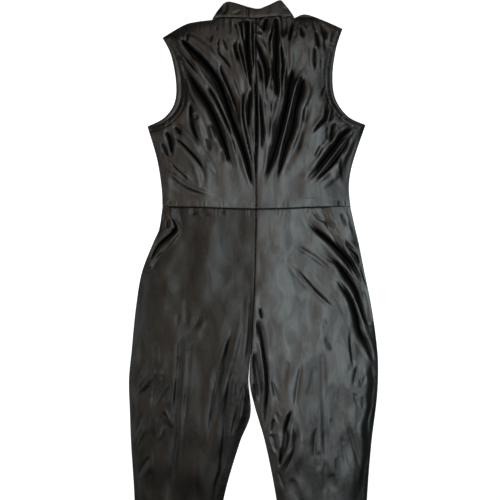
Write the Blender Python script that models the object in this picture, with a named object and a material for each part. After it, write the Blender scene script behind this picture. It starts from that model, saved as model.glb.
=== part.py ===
"""Sleeveless satin jumpsuit with a stand collar, laid flat with its front up.

Right and left are the wearer's. With the front up, the wearer's right is on -X,
the collar points to +Y and the back panels rest on the ground plane Z = 0.
All tables are in millimetres, measured from the crossing of the centre-front
seam and the waist seam: x to the wearer's left, y towards the collar.
"""
import math
from collections import namedtuple
from functools import lru_cache

import bmesh
import bpy

MM = 0.001
CLOTH = 1.4            # wall of one layer, measured straight up
GAP = 0.3              # clearance between neighbouring pieces
HALF_SEAM = GAP / 2
FACING_Z = CLOTH + GAP                 # underside of a facing that lies on the back
FRONT_Z = FACING_Z                     # underside of a front panel where it meets the back
OVER_FACING_Z = FACING_Z + CLOTH + GAP     # underside of a front panel that covers a facing
EDGE_ROLL = 32.0       # a front panel comes down to the back over this distance
WAIST_SAG = 4.0        # the waist seam hangs this much lower at the centre
SAG_REACH = 170.0      # the sag ends this far to each side of the centre
SAG_FADE = 60.0        # a leg panel's rows lose the sag over this distance below the waist
COLLAR_ROWS = 4
COLLAR_SEGMENTS = 18   # round half of the flattened collar
COLLAR_FLATNESS = 3.0  # higher is flatter, with tighter turns at its two ends
RISE_RUN = 22.0        # a front panel rises onto a facing over this distance
RISE_START = 2.0       # it starts to come down this far beyond an armhole facing
MOUTH_RISE_START = 4.0     # and this far beyond a pocket facing
SATIN = (0.012, 0.011, 0.011)
SATIN_ROUGHNESS = 0.38

Place = namedtuple("Place", "x y")
Level = namedtuple("Level", "y outer inner")
Loft = namedtuple("Loft", "y height")
Fold = namedtuple("Fold", "x0 y0 x1 y1 bow bow_at width height")

RIGHT, LEFT = -1, 1
SIDE_NAME = {RIGHT: "right", LEFT: "left"}

# Neck, shoulders, armholes and side seams, each a smooth curve through its places.
NECK = {
    RIGHT: (Place(0, 377), Place(-40, 378), Place(-74, 378), Place(-88, 374)),
    LEFT: (Place(0, 377), Place(36, 381), Place(62, 381), Place(77, 378)),
}
SHOULDER = {
    RIGHT: (Place(-88, 374), Place(-120, 370), Place(-145, 363), Place(-187, 338)),
    LEFT: (Place(77, 378), Place(98, 385), Place(130, 375), Place(173, 356)),
}
ARMHOLE = {
    RIGHT: (Place(-187, 338), Place(-170, 304), Place(-160, 250), Place(-163, 208),
            Place(-184, 178), Place(-217, 161)),
    LEFT: (Place(173, 356), Place(160, 316), Place(153, 262), Place(159, 216),
           Place(184, 181), Place(219, 164)),
}
SIDE_SEAM = {
    RIGHT: (Place(-187, 0), Place(-189, 40), Place(-198, 96), Place(-217, 161)),
    LEFT: (Place(189, 0), Place(186, 44), Place(194, 90), Place(219, 164)),
}
# Top edge and slanting ends of the collar, which lies flattened.
COLLAR_TOP = (Place(-66, 405), Place(-50, 408), Place(0, 395), Place(22, 400), Place(46, 411),
              Place(54, 409))
COLLAR_END = {
    RIGHT: (Place(-88, 374), Place(-78, 391), Place(-66, 405)),
    LEFT: (Place(77, 378), Place(66, 395), Place(54, 409)),
}
# Leg outline: outseam and inner edge at each level. The inner edge is the centre
# seam down to the crotch and the inseam below it.
CROTCH_Y = -345.0
HEM_Y = -1056.0
LEG = {
    RIGHT: (Level(0, -187, 0), Level(-45, -194, 0), Level(-70, -205, -1), Level(-130, -228, -2),
            Level(-200, -240, -5), Level(-290, -249, -10), Level(CROTCH_Y, -254, -15),
            Level(-415, -252, -11), Level(-470, -250, -32), Level(-586, -243, -65),
            Level(-800, -240, -99), Level(HEM_Y, -240, -112)),
    LEFT: (Level(0, 189, 0), Level(-45, 199, 0), Level(-70, 205, -1), Level(-130, 217, -2),
           Level(-200, 231, -5), Level(-290, 243, -10), Level(CROTCH_Y, 244, -13),
           Level(-390, 241, -5), Level(-470, 231, 18), Level(-586, 222, 41),
           Level(-800, 214, 72), Level(HEM_Y, 212, 90)),
}
# Pocket mouths: the edge of the front leg panel from the waist to the outseam.
MOUTH = {
    RIGHT: (Place(-174, 0), Place(-162, -40), Place(-177, -60), Place(-203, -97), Place(-217, -126)),
    LEFT: (Place(148, 0), Place(160, -40), Place(186, -91), Place(221, -162), Place(236, -236)),
}
FACING_TUCK = 20.0     # a pocket facing reaches this far in under the front panel
LOW_TUCK = 0.5         # share of that reach at its lower end
FACING_INSET = 0.5     # clearance of a pocket facing's outer edge from the outseam
ARMHOLE_FACING = 18.0  # widest width of an armhole facing
FACING_TIP = 0.3       # share of that width at its two ends
FACING_MARGIN = 0.02   # share of the armhole that is left free at each end
# The back armhole shows past the front one by this much half-way round.
ARMHOLE_STEP = {RIGHT: 10.0, LEFT: 4.5}
STEP_ROUNDING = 0.7    # below 1, the step grows faster at its ends

UNDERARM_Y = 128.0     # height on the centre seam of the grid row that ends at the underarms

# How high the front stands off the back, from the collar down to the hems.
LOFTS = (Loft(410, 3.0), Loft(350, 4.5), Loft(200, 4.5), Loft(60, 3.4), Loft(0, 1.8),
         Loft(-60, 3.4), Loft(-300, 4.0), Loft(-600, 3.6), Loft(-900, 2.6), Loft(HEM_Y, 1.6))
LOWEST_TROUGH = 0.25   # share of the loft that is left at the bottom of a fold
FOLD_HEAD = 0.18       # share of a fold's length over which it starts
FOLD_TAIL = 0.30       # share of a fold's length over which it ends

# Largest folds of the front. A fold runs from (x0, y0) to (x1, y1), bowed to the
# left of that direction by bow at the fraction bow_at; a trough has height < 0.
FOLDS = (
    # fan from the wearer's right shoulder and armhole to the centre-front seam
    Fold(-148, 334, -4, 30, 31, 0.38, 30, -5.5),
    Fold(-158, 300, -42, 72, 13, 0.50, 26, -5.0),
    Fold(-100, 252, -44, 128, 2, 0.50, 18, -3.5),
    Fold(-134, 215, -108, 120, -5, 0.50, 22, -3.0),
    Fold(-165, 146, -100, 30, 16, 0.50, 18, -3.0),
    Fold(-181, 154, -168, 100, 1, 0.50, 16, -3.0),
    Fold(-182, 78, -78, 20, -8, 0.50, 24, 2.5),
    # ridges that stand between those troughs
    Fold(-128, 345, 2, 90, 30, 0.40, 24, 4.5),
    Fold(-164, 320, -44, 130, 16, 0.50, 22, 4.0),
    # gathers under the collar
    Fold(-17, 372, -8, 225, -3, 0.50, 18, -4.5),
    Fold(40, 375, 43, 205, 0, 0.50, 18, -4.5),
    Fold(57, 380, 52, 335, 0, 0.50, 34, -3.5),
    Fold(-60, 372, -44, 250, 0, 0.50, 22, 3.5),
    Fold(18, 372, 33, 250, 6, 0.50, 18, 3.5),
    # fan from the wearer's left shoulder and armhole
    Fold(76, 285, 13, 38, 3, 0.50, 24, -5.0),
    Fold(97, 262, 38, 42, 2, 0.50, 20, -4.5),
    Fold(195, 163, 68, 32, 2, 0.50, 20, -4.5),
    Fold(192, 141, 112, 46, 8, 0.50, 20, -3.0),
    Fold(204, 142, 176, 50, -4, 0.50, 20, -4.0),
    Fold(84, 300, 24, 40, 4, 0.50, 18, 4.0),
    Fold(115, 270, 60, 60, 3, 0.50, 26, 3.0),
    # drag lines across the hip on the wearer's left
    Fold(96, -16, 224, -172, 8, 0.60, 22, -4.5),
    Fold(116, -75, 233, -250, 20, 0.42, 20, -4.0),
    Fold(158, -138, 240, -320, 8, 0.40, 22, -4.0),
    Fold(108, -40, 228, -215, 14, 0.50, 20, 3.0),
    # crotch and inner legs
    Fold(2, -224, 18, -448, 9, 0.55, 18, -4.5),
    Fold(-11, -155, -20, -340, 4, 0.60, 16, -3.5),
    Fold(93, -305, 46, -522, 3, 0.50, 22, -3.0),
    # long folds down the legs
    Fold(-138, -245, -180, -640, -3, 0.50, 24, -3.5),
    Fold(-118, -235, -158, -600, -3, 0.50, 30, 3.0),
    Fold(-43, -235, -94, -465, -7, 0.50, 24, -3.5),
    Fold(-34, -245, -82, -475, -7, 0.50, 24, 3.0),
    Fold(131, -265, 142, -600, 0, 0.50, 30, -2.0),
    Fold(226, -330, 222, -560, -4, 0.50, 22, -3.0),
    Fold(-188, -600, -170, -1000, 8, 0.50, 34, -2.2),
    Fold(160, -620, 140, -1000, -8, 0.50, 34, -2.2),
)

# Grid lines of the faceted panels.
NECK_LINES, SHOULDER_LINES = 10, 10
SIDE_ROWS, ARMHOLE_ROWS = 9, 13
LEG_LINES = 15
POCKET_LINES, POCKET_ROWS = 4, 12
FACING_LINES, FACING_ROWS = 2, 20
CURVE_STEPS = 24       # fine points between two places of a curve
TANGENT_STEP = 0.01    # share of a curve's length over which its direction is measured
# Coarser runs that the distance to an edge is measured to.
EDGE_STEPS, ARMHOLE_STEPS = 8, 14
LEG_STRIDE, MOUTH_STRIDE = 24, 18
INSEAM_DROP = 45.0     # the inseam's run starts this far below the crotch
LEG_SPANS = ((0.0, -126.0, 7), (-126.0, -130.0, 1), (-130.0, CROTCH_Y, 9),
             (CROTCH_Y, -586.0, 8), (-586.0, HEM_Y, 7))


# ---------------------------------------------------------------- curves

def smoothstep(value):
    """Ease from 0 to 1 as value goes from 0 to 1."""
    value = min(1.0, max(0.0, value))
    return value * value * (3.0 - 2.0 * value)


def spline(places, fraction):
    """Point on the smooth curve through places, at a fraction of its spans."""
    spans = len(places) - 1
    position = min(max(fraction, 0.0), 1.0) * spans
    index = min(int(position), spans - 1)
    t = position - index
    before = places[max(index - 1, 0)]
    start, end = places[index], places[index + 1]
    after = places[min(index + 2, spans)]

    def blend(p0, p1, p2, p3):
        return 0.5 * (2 * p1 + (p2 - p0) * t + (2 * p0 - 5 * p1 + 4 * p2 - p3) * t * t
                      + (3 * p1 - p0 - 3 * p2 + p3) * t ** 3)

    return Place(blend(before.x, start.x, end.x, after.x), blend(before.y, start.y, end.y, after.y))


@lru_cache(maxsize=None)
def measured(places):
    """Close points on the smooth curve through places, with their run along it."""
    steps = CURVE_STEPS * (len(places) - 1)
    points = [spline(places, step / steps) for step in range(steps + 1)]
    runs = [0.0]
    for one, two in zip(points, points[1:]):
        runs.append(runs[-1] + math.dist(one, two))
    return points, runs


def even_spline(places, fraction):
    """Point at a fraction of the length of the smooth curve through places."""
    points, runs = measured(places)
    goal = min(max(fraction, 0.0), 1.0) * runs[-1]
    for index in range(len(points) - 1):
        if goal <= runs[index + 1]:
            share = (goal - runs[index]) / (runs[index + 1] - runs[index])
            one, two = points[index], points[index + 1]
            return Place(one.x + (two.x - one.x) * share, one.y + (two.y - one.y) * share)
    return points[-1]


@lru_cache(maxsize=None)
def polyline(places, steps):
    """Evenly spaced points on the smooth curve through places."""
    return tuple(even_spline(places, step / steps) for step in range(steps + 1))


def level_x(levels, y, column):
    """Outline x of a leg at height y, eased between the table's levels."""
    if y >= levels[0].y:
        return getattr(levels[0], column)
    for index in range(len(levels) - 1):
        above, below = levels[index], levels[index + 1]
        if y >= below.y:
            before = levels[max(index - 1, 0)]
            after = levels[min(index + 2, len(levels) - 1)]
            span = above.y - below.y
            slope_above = (getattr(below, column) - getattr(before, column)) / max(before.y - below.y, span)
            slope_below = (getattr(after, column) - getattr(above, column)) / max(above.y - after.y, span)
            t = (above.y - y) / span
            a, b = getattr(above, column), getattr(below, column)
            return ((2 * t ** 3 - 3 * t ** 2 + 1) * a + (t ** 3 - 2 * t ** 2 + t) * span * slope_above
                    + (3 * t ** 2 - 2 * t ** 3) * b + (t ** 3 - t ** 2) * span * slope_below)
    return getattr(levels[-1], column)


def mouth_x(side, y):
    """X of the pocket mouth at height y."""
    places = MOUTH[side]
    for above, below in zip(places, places[1:]):
        if y >= below.y:
            return above.x + (below.x - above.x) * (above.y - y) / (above.y - below.y)
    return places[-1].x


def waist_y(x):
    """Height of the waist seam, which hangs lower at the centre."""
    return -WAIST_SAG * (1.0 - smoothstep(abs(x) / SAG_REACH))


def loft(y):
    """Stand-off of the front from the back at height y."""
    for above, below in zip(LOFTS, LOFTS[1:]):
        if y >= below.y:
            share = smoothstep((above.y - y) / (above.y - below.y))
            return above.height + (below.height - above.height) * share
    return LOFTS[-1].height


# ---------------------------------------------------------------- outlines

def armhole_edge(side, fraction, step):
    """Armhole at a fraction from the shoulder, moved in by step half-way round."""
    place = even_spline(ARMHOLE[side], fraction)
    ahead = even_spline(ARMHOLE[side], min(1.0, fraction + TANGENT_STEP))
    behind = even_spline(ARMHOLE[side], max(0.0, fraction - TANGENT_STEP))
    length = math.dist(ahead, behind)
    inward = Place(-side * (behind.y - ahead.y) / length, side * (behind.x - ahead.x) / length)
    reach = step * math.sin(math.pi * min(max(fraction, 0.0), 1.0)) ** STEP_ROUNDING
    return Place(place.x + inward.x * reach, place.y + inward.y * reach)


def top_edge(side, column):
    """Neck and shoulder of a bodice half, by grid line from the centre."""
    if column <= NECK_LINES:
        return even_spline(NECK[side], column / NECK_LINES)
    return even_spline(SHOULDER[side], (column - NECK_LINES) / SHOULDER_LINES)


def outer_edge(side, row, step):
    """Side seam and armhole of a bodice half, by grid row from the waist."""
    if row <= SIDE_ROWS:
        return even_spline(SIDE_SEAM[side], row / SIDE_ROWS)
    return armhole_edge(side, 1.0 - (row - SIDE_ROWS) / ARMHOLE_ROWS, step)


def centre_edge(side, row):
    """Centre seam of the bodice, by grid row from the waist."""
    low, high = waist_y(0.0), NECK[side][0].y
    if row <= SIDE_ROWS:
        return Place(0.0, low + (UNDERARM_Y - low) * row / SIDE_ROWS)
    return Place(0.0, UNDERARM_Y + (high - UNDERARM_Y) * (row - SIDE_ROWS) / ARMHOLE_ROWS)


def bodice_place(side, column, row, step):
    """Place in a bodice half, eased between its four edges."""
    across = column / (NECK_LINES + SHOULDER_LINES)
    up = row / (SIDE_ROWS + ARMHOLE_ROWS)
    low_x = SIDE_SEAM[side][0].x * across
    low = Place(low_x, waist_y(low_x))
    high = top_edge(side, column)
    centre = centre_edge(side, row)
    outer = outer_edge(side, row, step)
    corners = (Place(0.0, waist_y(0.0)), SIDE_SEAM[side][0], NECK[side][0], ARMHOLE[side][0])
    weights = ((1 - across) * (1 - up), across * (1 - up), (1 - across) * up, across * up)
    x, y = (
        (1 - up) * low[axis] + up * high[axis] + (1 - across) * centre[axis] + across * outer[axis]
        - sum(weight * corner[axis] for weight, corner in zip(weights, corners))
        for axis in (0, 1)
    )
    return Place(x, y)


def leg_place(side, across, y, outer):
    """Place in a leg panel: across from the inner edge at the level y."""
    inner = level_x(LEG[side], y, "inner") + side * HALF_SEAM
    x = inner + (outer - inner) * across
    return Place(x, y + waist_y(x) * (1.0 - smoothstep(-y / SAG_FADE)))


def outseam_x(side, y):
    """X of the outseam at height y."""
    return level_x(LEG[side], y, "outer")


@lru_cache(maxsize=None)
def silhouette():
    """Short straight runs round the edges where the front comes down to the back."""
    lines = []
    for side in (RIGHT, LEFT):
        lines.append(polyline(SHOULDER[side], EDGE_STEPS))
        lines.append(polyline(ARMHOLE[side], ARMHOLE_STEPS))
        lines.append(polyline(SIDE_SEAM[side], EDGE_STEPS))
        outer = range(0, int(HEM_Y), -LEG_STRIDE)
        lines.append(tuple(Place(outseam_x(side, y), y) for y in outer))
        inner = range(int(CROTCH_Y - INSEAM_DROP), int(HEM_Y), -LEG_STRIDE)
        lines.append(tuple(Place(level_x(LEG[side], y, "inner"), y) for y in inner))
    return tuple(lines)


@lru_cache(maxsize=None)
def mouth_line(side):
    """Middle of the pocket facing's hidden part, from the waist down."""
    bottom = int(MOUTH[side][-1].y)
    inward = -side * FACING_TUCK / 2
    return tuple(Place(mouth_x(side, y) + inward, y) for y in range(0, bottom - 1, -MOUTH_STRIDE))


def distance_to(lines, place):
    """Distance from a place to the nearest of some polylines."""
    nearest = math.inf
    for line in lines:
        for one, two in zip(line, line[1:]):
            dx, dy = two.x - one.x, two.y - one.y
            along = ((place.x - one.x) * dx + (place.y - one.y) * dy) / (dx * dx + dy * dy)
            along = min(1.0, max(0.0, along))
            nearest = min(nearest, math.hypot(place.x - one.x - along * dx, place.y - one.y - along * dy))
    return nearest


# ---------------------------------------------------------------- heights

def fold_height(fold, place):
    """Height that one fold adds at a place."""
    dx, dy = fold.x1 - fold.x0, fold.y1 - fold.y0
    length = math.hypot(dx, dy)
    rx, ry = place.x - fold.x0, place.y - fold.y0
    along = (rx * dx + ry * dy) / length / length
    if not 0.0 < along < 1.0:
        return 0.0
    across = (ry * dx - rx * dy) / length
    warped = along ** (math.log(0.5) / math.log(fold.bow_at))
    across -= fold.bow * 4.0 * warped * (1.0 - warped)
    ends = smoothstep(along / FOLD_HEAD) * smoothstep((1.0 - along) / FOLD_TAIL)
    spread = abs(across) / (0.5 * fold.width)
    if spread >= 1.0:
        return 0.0
    return fold.height * ends * (1.0 - spread * spread) ** 2


def front_under(side, place):
    """Underside of a front panel: its loft off the back, with the folds in it."""
    away = distance_to(silhouette(), place)
    stand = loft(place.y) * smoothstep(away / EDGE_ROLL)
    folds = sum(fold_height(fold, place) for fold in FOLDS)
    stand = max(stand + folds * smoothstep(away / (0.5 * EDGE_ROLL)), LOWEST_TROUGH * stand)
    return FRONT_Z + facing_rise(side, place) + stand


def facing_rise(side, place):
    """Extra height of a front panel where an armhole or pocket facing lies under it."""
    if place.y > 0.0:
        away = distance_to((polyline(ARMHOLE[side], ARMHOLE_STEPS),), place) - ARMHOLE_FACING - RISE_START
    else:
        away = distance_to((mouth_line(side),), place) - FACING_TUCK / 2 - MOUTH_RISE_START
    return (OVER_FACING_Z - FRONT_Z) * (1.0 - smoothstep(away / RISE_RUN))


# ---------------------------------------------------------------- solids

def finish(name, solid, colour, roughness):
    """Object of a finished bmesh, with its faces turned outwards and its own material."""
    bmesh.ops.recalc_face_normals(solid, faces=solid.faces[:])
    mesh = bpy.data.meshes.new(name)
    solid.to_mesh(mesh)
    solid.free()
    part = bpy.data.objects.new(name, mesh)
    bpy.context.scene.collection.objects.link(part)
    material = bpy.data.materials.new(name + "_satin")
    material.use_nodes = True
    shader = material.node_tree.nodes["Principled BSDF"]
    shader.inputs["Base Color"].default_value = (*colour, 1.0)
    shader.inputs["Roughness"].default_value = roughness
    shader.inputs["Metallic"].default_value = 0.0
    part.data.materials.append(material)
    return part


def wall(name, columns, rows, place_at, under_at, colour=SATIN, roughness=SATIN_ROUGHNESS):
    """Wall of cloth on a grid: place_at gives its plan, under_at its underside."""
    solid = bmesh.new()
    bmesh.ops.create_grid(solid, x_segments=columns, y_segments=rows, size=0.5)
    for vert in solid.verts:
        place = place_at(round((vert.co.x + 0.5) * columns), round((vert.co.y + 0.5) * rows))
        vert.co = (place.x * MM, place.y * MM, (under_at(place) + CLOTH) * MM)
    lower = bmesh.ops.extrude_face_region(solid, geom=solid.faces[:])["geom"]
    lower_verts = [item for item in lower if isinstance(item, bmesh.types.BMVert)]
    bmesh.ops.translate(solid, verts=lower_verts, vec=(0.0, 0.0, -CLOTH * MM))
    return finish(name, solid, colour, roughness)


def bodice_half(side, front):
    """Front or back half of the bodice, between centre seam, waist and armhole."""
    columns, rows = NECK_LINES + SHOULDER_LINES, SIDE_ROWS + ARMHOLE_ROWS
    step = ARMHOLE_STEP[side] if front else 0.0

    def place_at(column, row):
        place = bodice_place(side, column, row, step)
        lift = HALF_SEAM * (1 - 2 * row / rows)
        return Place(place.x + side * HALF_SEAM * (1 - column / columns), place.y + lift)

    def under_at(place):
        return front_under(side, place) if front else 0.0

    name = ("front_bodice_" if front else "back_bodice_") + SIDE_NAME[side]
    return wall(name, columns, rows, place_at, under_at)


def leg_levels():
    """Heights of the leg grid's rows, from the waist to the hem."""
    levels = [0.0]
    for top, bottom, rows in LEG_SPANS:
        levels += [top + (bottom - top) * (row + 1) / rows for row in range(rows)]
    return levels


def leg(side, front):
    """Front or back leg panel; a front one is cut away along its pocket mouth."""
    levels = leg_levels()

    def place_at(column, row):
        y = levels[row]
        outer = outseam_x(side, y)
        if front and y >= MOUTH[side][-1].y + 0.5:
            outer = mouth_x(side, y)
        seam = HALF_SEAM if row == 0 else 0.0
        place = leg_place(side, column / LEG_LINES, y, outer)
        return Place(place.x, place.y - seam)

    def under_at(place):
        return front_under(side, place) if front else 0.0

    name = ("front_leg_" if front else "back_leg_") + SIDE_NAME[side]
    return wall(name, LEG_LINES, len(levels) - 1, place_at, under_at)


def pocket_facing(side):
    """Facing behind a pocket mouth, from under the front panel to the outseam."""
    top, bottom = -1.0, MOUTH[side][-1].y + 1.0

    def place_at(column, row):
        down = row / POCKET_ROWS
        y = top + (bottom - top) * down
        outer = outseam_x(side, y) - side * FACING_INSET
        inner = mouth_x(side, y) - side * FACING_TUCK * (1.0 - (1.0 - LOW_TUCK) * down)
        x = inner + (outer - inner) * column / POCKET_LINES
        return Place(x, y + waist_y(x))

    return wall("pocket_facing_" + SIDE_NAME[side], POCKET_LINES, POCKET_ROWS, place_at, lambda place: FACING_Z)


def armhole_facing(side):
    """Facing along the back armhole, which shows past the edge of the front."""
    def place_at(column, row):
        along = FACING_MARGIN + (1.0 - 2.0 * FACING_MARGIN) * row / FACING_ROWS
        width = ARMHOLE_FACING * (FACING_TIP + (1.0 - FACING_TIP) * math.sin(math.pi * along))
        return armhole_edge(side, along, width * column / FACING_LINES)

    return wall("armhole_facing_" + SIDE_NAME[side], FACING_LINES, FACING_ROWS, place_at, lambda place: FACING_Z)


def neck_y(x):
    """Height of the neck seam at x."""
    line = polyline(NECK[RIGHT if x < 0.0 else LEFT], NECK_LINES)
    for one, two in zip(line, line[1:]):
        if min(one.x, two.x) <= x <= max(one.x, two.x):
            return one.y + (two.y - one.y) * (x - one.x) / (two.x - one.x)
    return line[-1].y


def collar_ring(solid, up, inset, height):
    """Edges of one closed loop of the collar: its outside, or moved in by inset."""
    loop = bmesh.ops.create_circle(solid, segments=2 * COLLAR_SEGMENTS, radius=1.0)["verts"]
    start = even_spline(COLLAR_END[RIGHT], up)
    end = even_spline(COLLAR_END[LEFT], up)
    half = (end.x - start.x) / 2
    for vert in loop:
        angle = math.atan2(vert.co.y, vert.co.x)
        across = 0.5 + 0.5 * math.cos(angle)
        x = start.x + half + (half - inset) * math.cos(angle)
        base_x = NECK[RIGHT][-1].x + (NECK[LEFT][-1].x - NECK[RIGHT][-1].x) * across
        low = neck_y(base_x if up > 0.0 else x)
        y = low + (even_spline(COLLAR_TOP, across).y - low) * up + GAP
        flat = math.copysign(min(1.0, abs(math.sin(angle)) * COLLAR_FLATNESS), math.sin(angle))
        vert.co = (x * MM, y * MM, (0.5 * height + flat * (0.5 * height - inset)) * MM)
    return list({edge for vert in loop for edge in vert.link_edges})


def collar():
    """Stand collar: one flattened ring that stands on the neck seam."""
    solid = bmesh.new()
    height = FRONT_Z + loft(NECK[RIGHT][0].y) + CLOTH
    ups = [row / COLLAR_ROWS for row in range(COLLAR_ROWS + 1)]
    outer = [collar_ring(solid, up, 0.0, height) for up in ups]
    inner = [collar_ring(solid, up, CLOTH, height) for up in ups]
    loops = [*outer, *reversed(inner), outer[0]]
    for one, two in zip(loops, loops[1:]):
        bmesh.ops.bridge_loops(solid, edges=one + two)
    return finish("collar", solid, SATIN, SATIN_ROUGHNESS)


# ---------------------------------------------------------------- assembly

def main():
    """Build every piece and place it with the origin under the middle of the whole."""
    for leftover in list(bpy.data.objects):
        bpy.data.objects.remove(leftover, do_unlink=True)
    pieces = [collar()]
    for side in (RIGHT, LEFT):
        pieces.append(bodice_half(side, False))
        pieces.append(bodice_half(side, True))
        pieces.append(armhole_facing(side))
        pieces.append(leg(side, False))
        pieces.append(leg(side, True))
        pieces.append(pocket_facing(side))
    corners = [vert.co for piece in pieces for vert in piece.data.vertices]
    middle_x = (min(corner.x for corner in corners) + max(corner.x for corner in corners)) / 2
    middle_y = (min(corner.y for corner in corners) + max(corner.y for corner in corners)) / 2
    garment = bpy.data.objects.new("garment", None)
    bpy.context.scene.collection.objects.link(garment)
    garment.location = (-middle_x, -middle_y, 0.0)
    for piece in pieces:
        piece.parent = garment


if __name__ == "__main__":
    main()
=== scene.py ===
"""Sleeveless black satin jumpsuit with a stand collar, laid out with its front up.

Right and left are the wearer's. The tables are in millimetres, measured from the
crossing of the centre-front seam and the waist seam: x to the wearer's left and y
towards the collar. A Layout turns them into places in the frame.
"""
from __future__ import annotations

import logging
import math
from collections.abc import Callable, Sequence
from dataclasses import dataclass
from enum import Enum
from functools import cached_property, lru_cache, partial

import bmesh
import bpy
import numpy as np
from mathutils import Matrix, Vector

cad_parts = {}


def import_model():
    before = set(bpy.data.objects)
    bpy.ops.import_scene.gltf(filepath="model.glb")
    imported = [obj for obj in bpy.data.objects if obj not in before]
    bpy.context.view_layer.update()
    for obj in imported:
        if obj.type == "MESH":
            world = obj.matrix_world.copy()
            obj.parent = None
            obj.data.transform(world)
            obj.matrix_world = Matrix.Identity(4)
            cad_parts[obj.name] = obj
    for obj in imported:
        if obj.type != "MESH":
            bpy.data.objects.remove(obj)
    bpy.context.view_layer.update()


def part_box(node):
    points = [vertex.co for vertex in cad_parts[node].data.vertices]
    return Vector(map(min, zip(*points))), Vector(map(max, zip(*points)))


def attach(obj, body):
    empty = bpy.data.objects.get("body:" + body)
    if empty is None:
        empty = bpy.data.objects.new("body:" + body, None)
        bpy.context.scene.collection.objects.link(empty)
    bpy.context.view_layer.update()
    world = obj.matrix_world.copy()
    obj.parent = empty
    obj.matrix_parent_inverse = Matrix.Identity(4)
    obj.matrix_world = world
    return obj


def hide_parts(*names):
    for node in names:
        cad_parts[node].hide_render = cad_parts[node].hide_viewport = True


LOG = logging.getLogger("jumpsuit")
MM = 0.001
TINY = 1e-9
Pair = tuple[float, float]
Colour = tuple[float, float, float]
Array = np.ndarray
Plan = Callable[[Array, Array], Array]                  # shares across and up to rows of x and y
Top = Callable[[Array, Array], tuple[Array, Array]]     # x and y to heights and the mask of painted crease shade


class Side(Enum):
    """The wearer's side, with its sign along x."""

    RIGHT = -1
    LEFT = 1

    @property
    def word(self) -> str:
        """Name of the side as piece names have it."""
        return self.name.lower()


class Face(Enum):
    """Which of the two layers of the garment a panel belongs to."""

    FRONT = "front"
    BACK = "back"


class Form(Enum):
    """Cross-section of a fold."""

    PLEAT = "pleat"      # a trough with straight walls and a sharp bottom
    SOFT = "soft"        # a rounded trough or ridge
    CREST = "crest"      # a ridge with straight flanks


# ---------------------------------------------------------------- the cut's outline

NECK = {
    Side.RIGHT: ((0, 377), (-40, 378), (-74, 378), (-88, 374)),
    Side.LEFT: ((0, 377), (36, 381), (62, 381), (77, 378)),
}
SHOULDER = {
    Side.RIGHT: ((-88, 374), (-120, 370), (-145, 363), (-187, 338)),
    Side.LEFT: ((77, 378), (98, 385), (130, 375), (173, 356)),
}
ARMHOLE = {
    Side.RIGHT: ((-187, 338), (-170, 304), (-160, 250), (-163, 208), (-184, 178), (-217, 161)),
    Side.LEFT: ((173, 356), (160, 316), (153, 262), (159, 216), (184, 181), (219, 164)),
}
SIDE_SEAM = {
    Side.RIGHT: ((-187, 0), (-189, 40), (-198, 96), (-217, 161)),
    Side.LEFT: ((189, 0), (186, 44), (194, 90), (219, 164)),
}
COLLAR_TOP = ((-66, 405), (-50, 408), (0, 395), (22, 400), (46, 411), (54, 409))
COLLAR_END = {
    Side.RIGHT: ((-88, 374), (-78, 391), (-66, 405)),
    Side.LEFT: ((77, 378), (66, 395), (54, 409)),
}
MOUTH = {
    Side.RIGHT: ((-174, 0), (-162, -40), (-177, -60), (-203, -97), (-217, -126)),
    Side.LEFT: ((148, 0), (160, -40), (186, -91), (221, -162), (236, -236)),
}
CROTCH_Y = -345.0
HEM_Y = -1056.0
INSEAM_DROP = 45.0             # the front comes down to the back from this far below the crotch
# Leg outline: height, outseam and inner edge, which is the centre seam and then the inseam.
LEG = {
    Side.RIGHT: ((0, -187, 0), (-45, -194, 0), (-70, -205, -1), (-130, -228, -2), (-200, -240, -5),
                 (-290, -249, -10), (CROTCH_Y, -254, -15), (-415, -252, -11), (-470, -250, -32),
                 (-586, -243, -65), (-800, -240, -99), (HEM_Y, -240, -112)),
    Side.LEFT: ((0, 189, 0), (-45, 199, 0), (-70, 205, -1), (-130, 217, -2), (-200, 231, -5),
                (-290, 243, -10), (CROTCH_Y, 244, -13), (-390, 241, -5), (-470, 231, 18),
                (-586, 222, 41), (-800, 214, 72), (HEM_Y, 212, 90)),
}
ARMHOLE_STEP = {Side.RIGHT: 10.0, Side.LEFT: 4.5}   # how far the back's armhole shows past the front's
ARMHOLE_ROUNDING = 0.7         # below 1, the step holds its depth further round
ARMHOLE_POINTS = 41
ARMHOLE_FACING = 18.0
FACING_TUCK = 20.0
WAIST_SAG = 4.0
SAG_REACH = 170.0
SAG_FADE = 60.0
UNDERARM_Y = 128.0
UNDERARM_SHARE = 9 / 22        # share of a bodice's height that is side seam
NECK_SHARE = 0.5               # share of its width that is neck and not shoulder
HALF_SEAM = 0.15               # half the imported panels' clearance at a seam
HALF_SLIT = 0.02               # half the slit that shows there

# ---------------------------------------------------------------- layers and folds

CLOTH = 0.5                    # wall of one layer as it shows
BACK_Z = 0.05                  # underside of the back on the floor
FACING_Z = 0.7                 # underside of a facing, on the back
FRONT_Z = 0.75                 # underside of the front where it meets the back
FACING_STEP = 0.7              # extra height over a facing
ROLL = 58.0                    # the front comes down to the back over this distance
LOFTS = ((410, 4.0), (360, 7.0), (200, 8.0), (60, 6.0), (8, 3.2), (-8, 3.0), (-70, 6.0), (-300, 7.0),
         (-600, 6.0), (-900, 4.0), (HEM_Y, 2.0))
LEAST = 0.6                    # a trough never comes nearer to the back than this


@dataclass(frozen=True)
class Fold:
    """One crease, as listed in the tables: a trough where height is below 0.

    Its line runs smoothly through places, each an x, a y and the fold's width there.
    Enter and leave are the shares of its length over which its ends fade.
    """

    height: float
    places: tuple[tuple[float, float, float], ...]
    enter: float = 0.22
    leave: float = 0.36
    form: Form = Form.PLEAT


CREASE_ENDS = (0.55, 0.35)      # width of a simple fold at its two ends, as shares of its greatest


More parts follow.
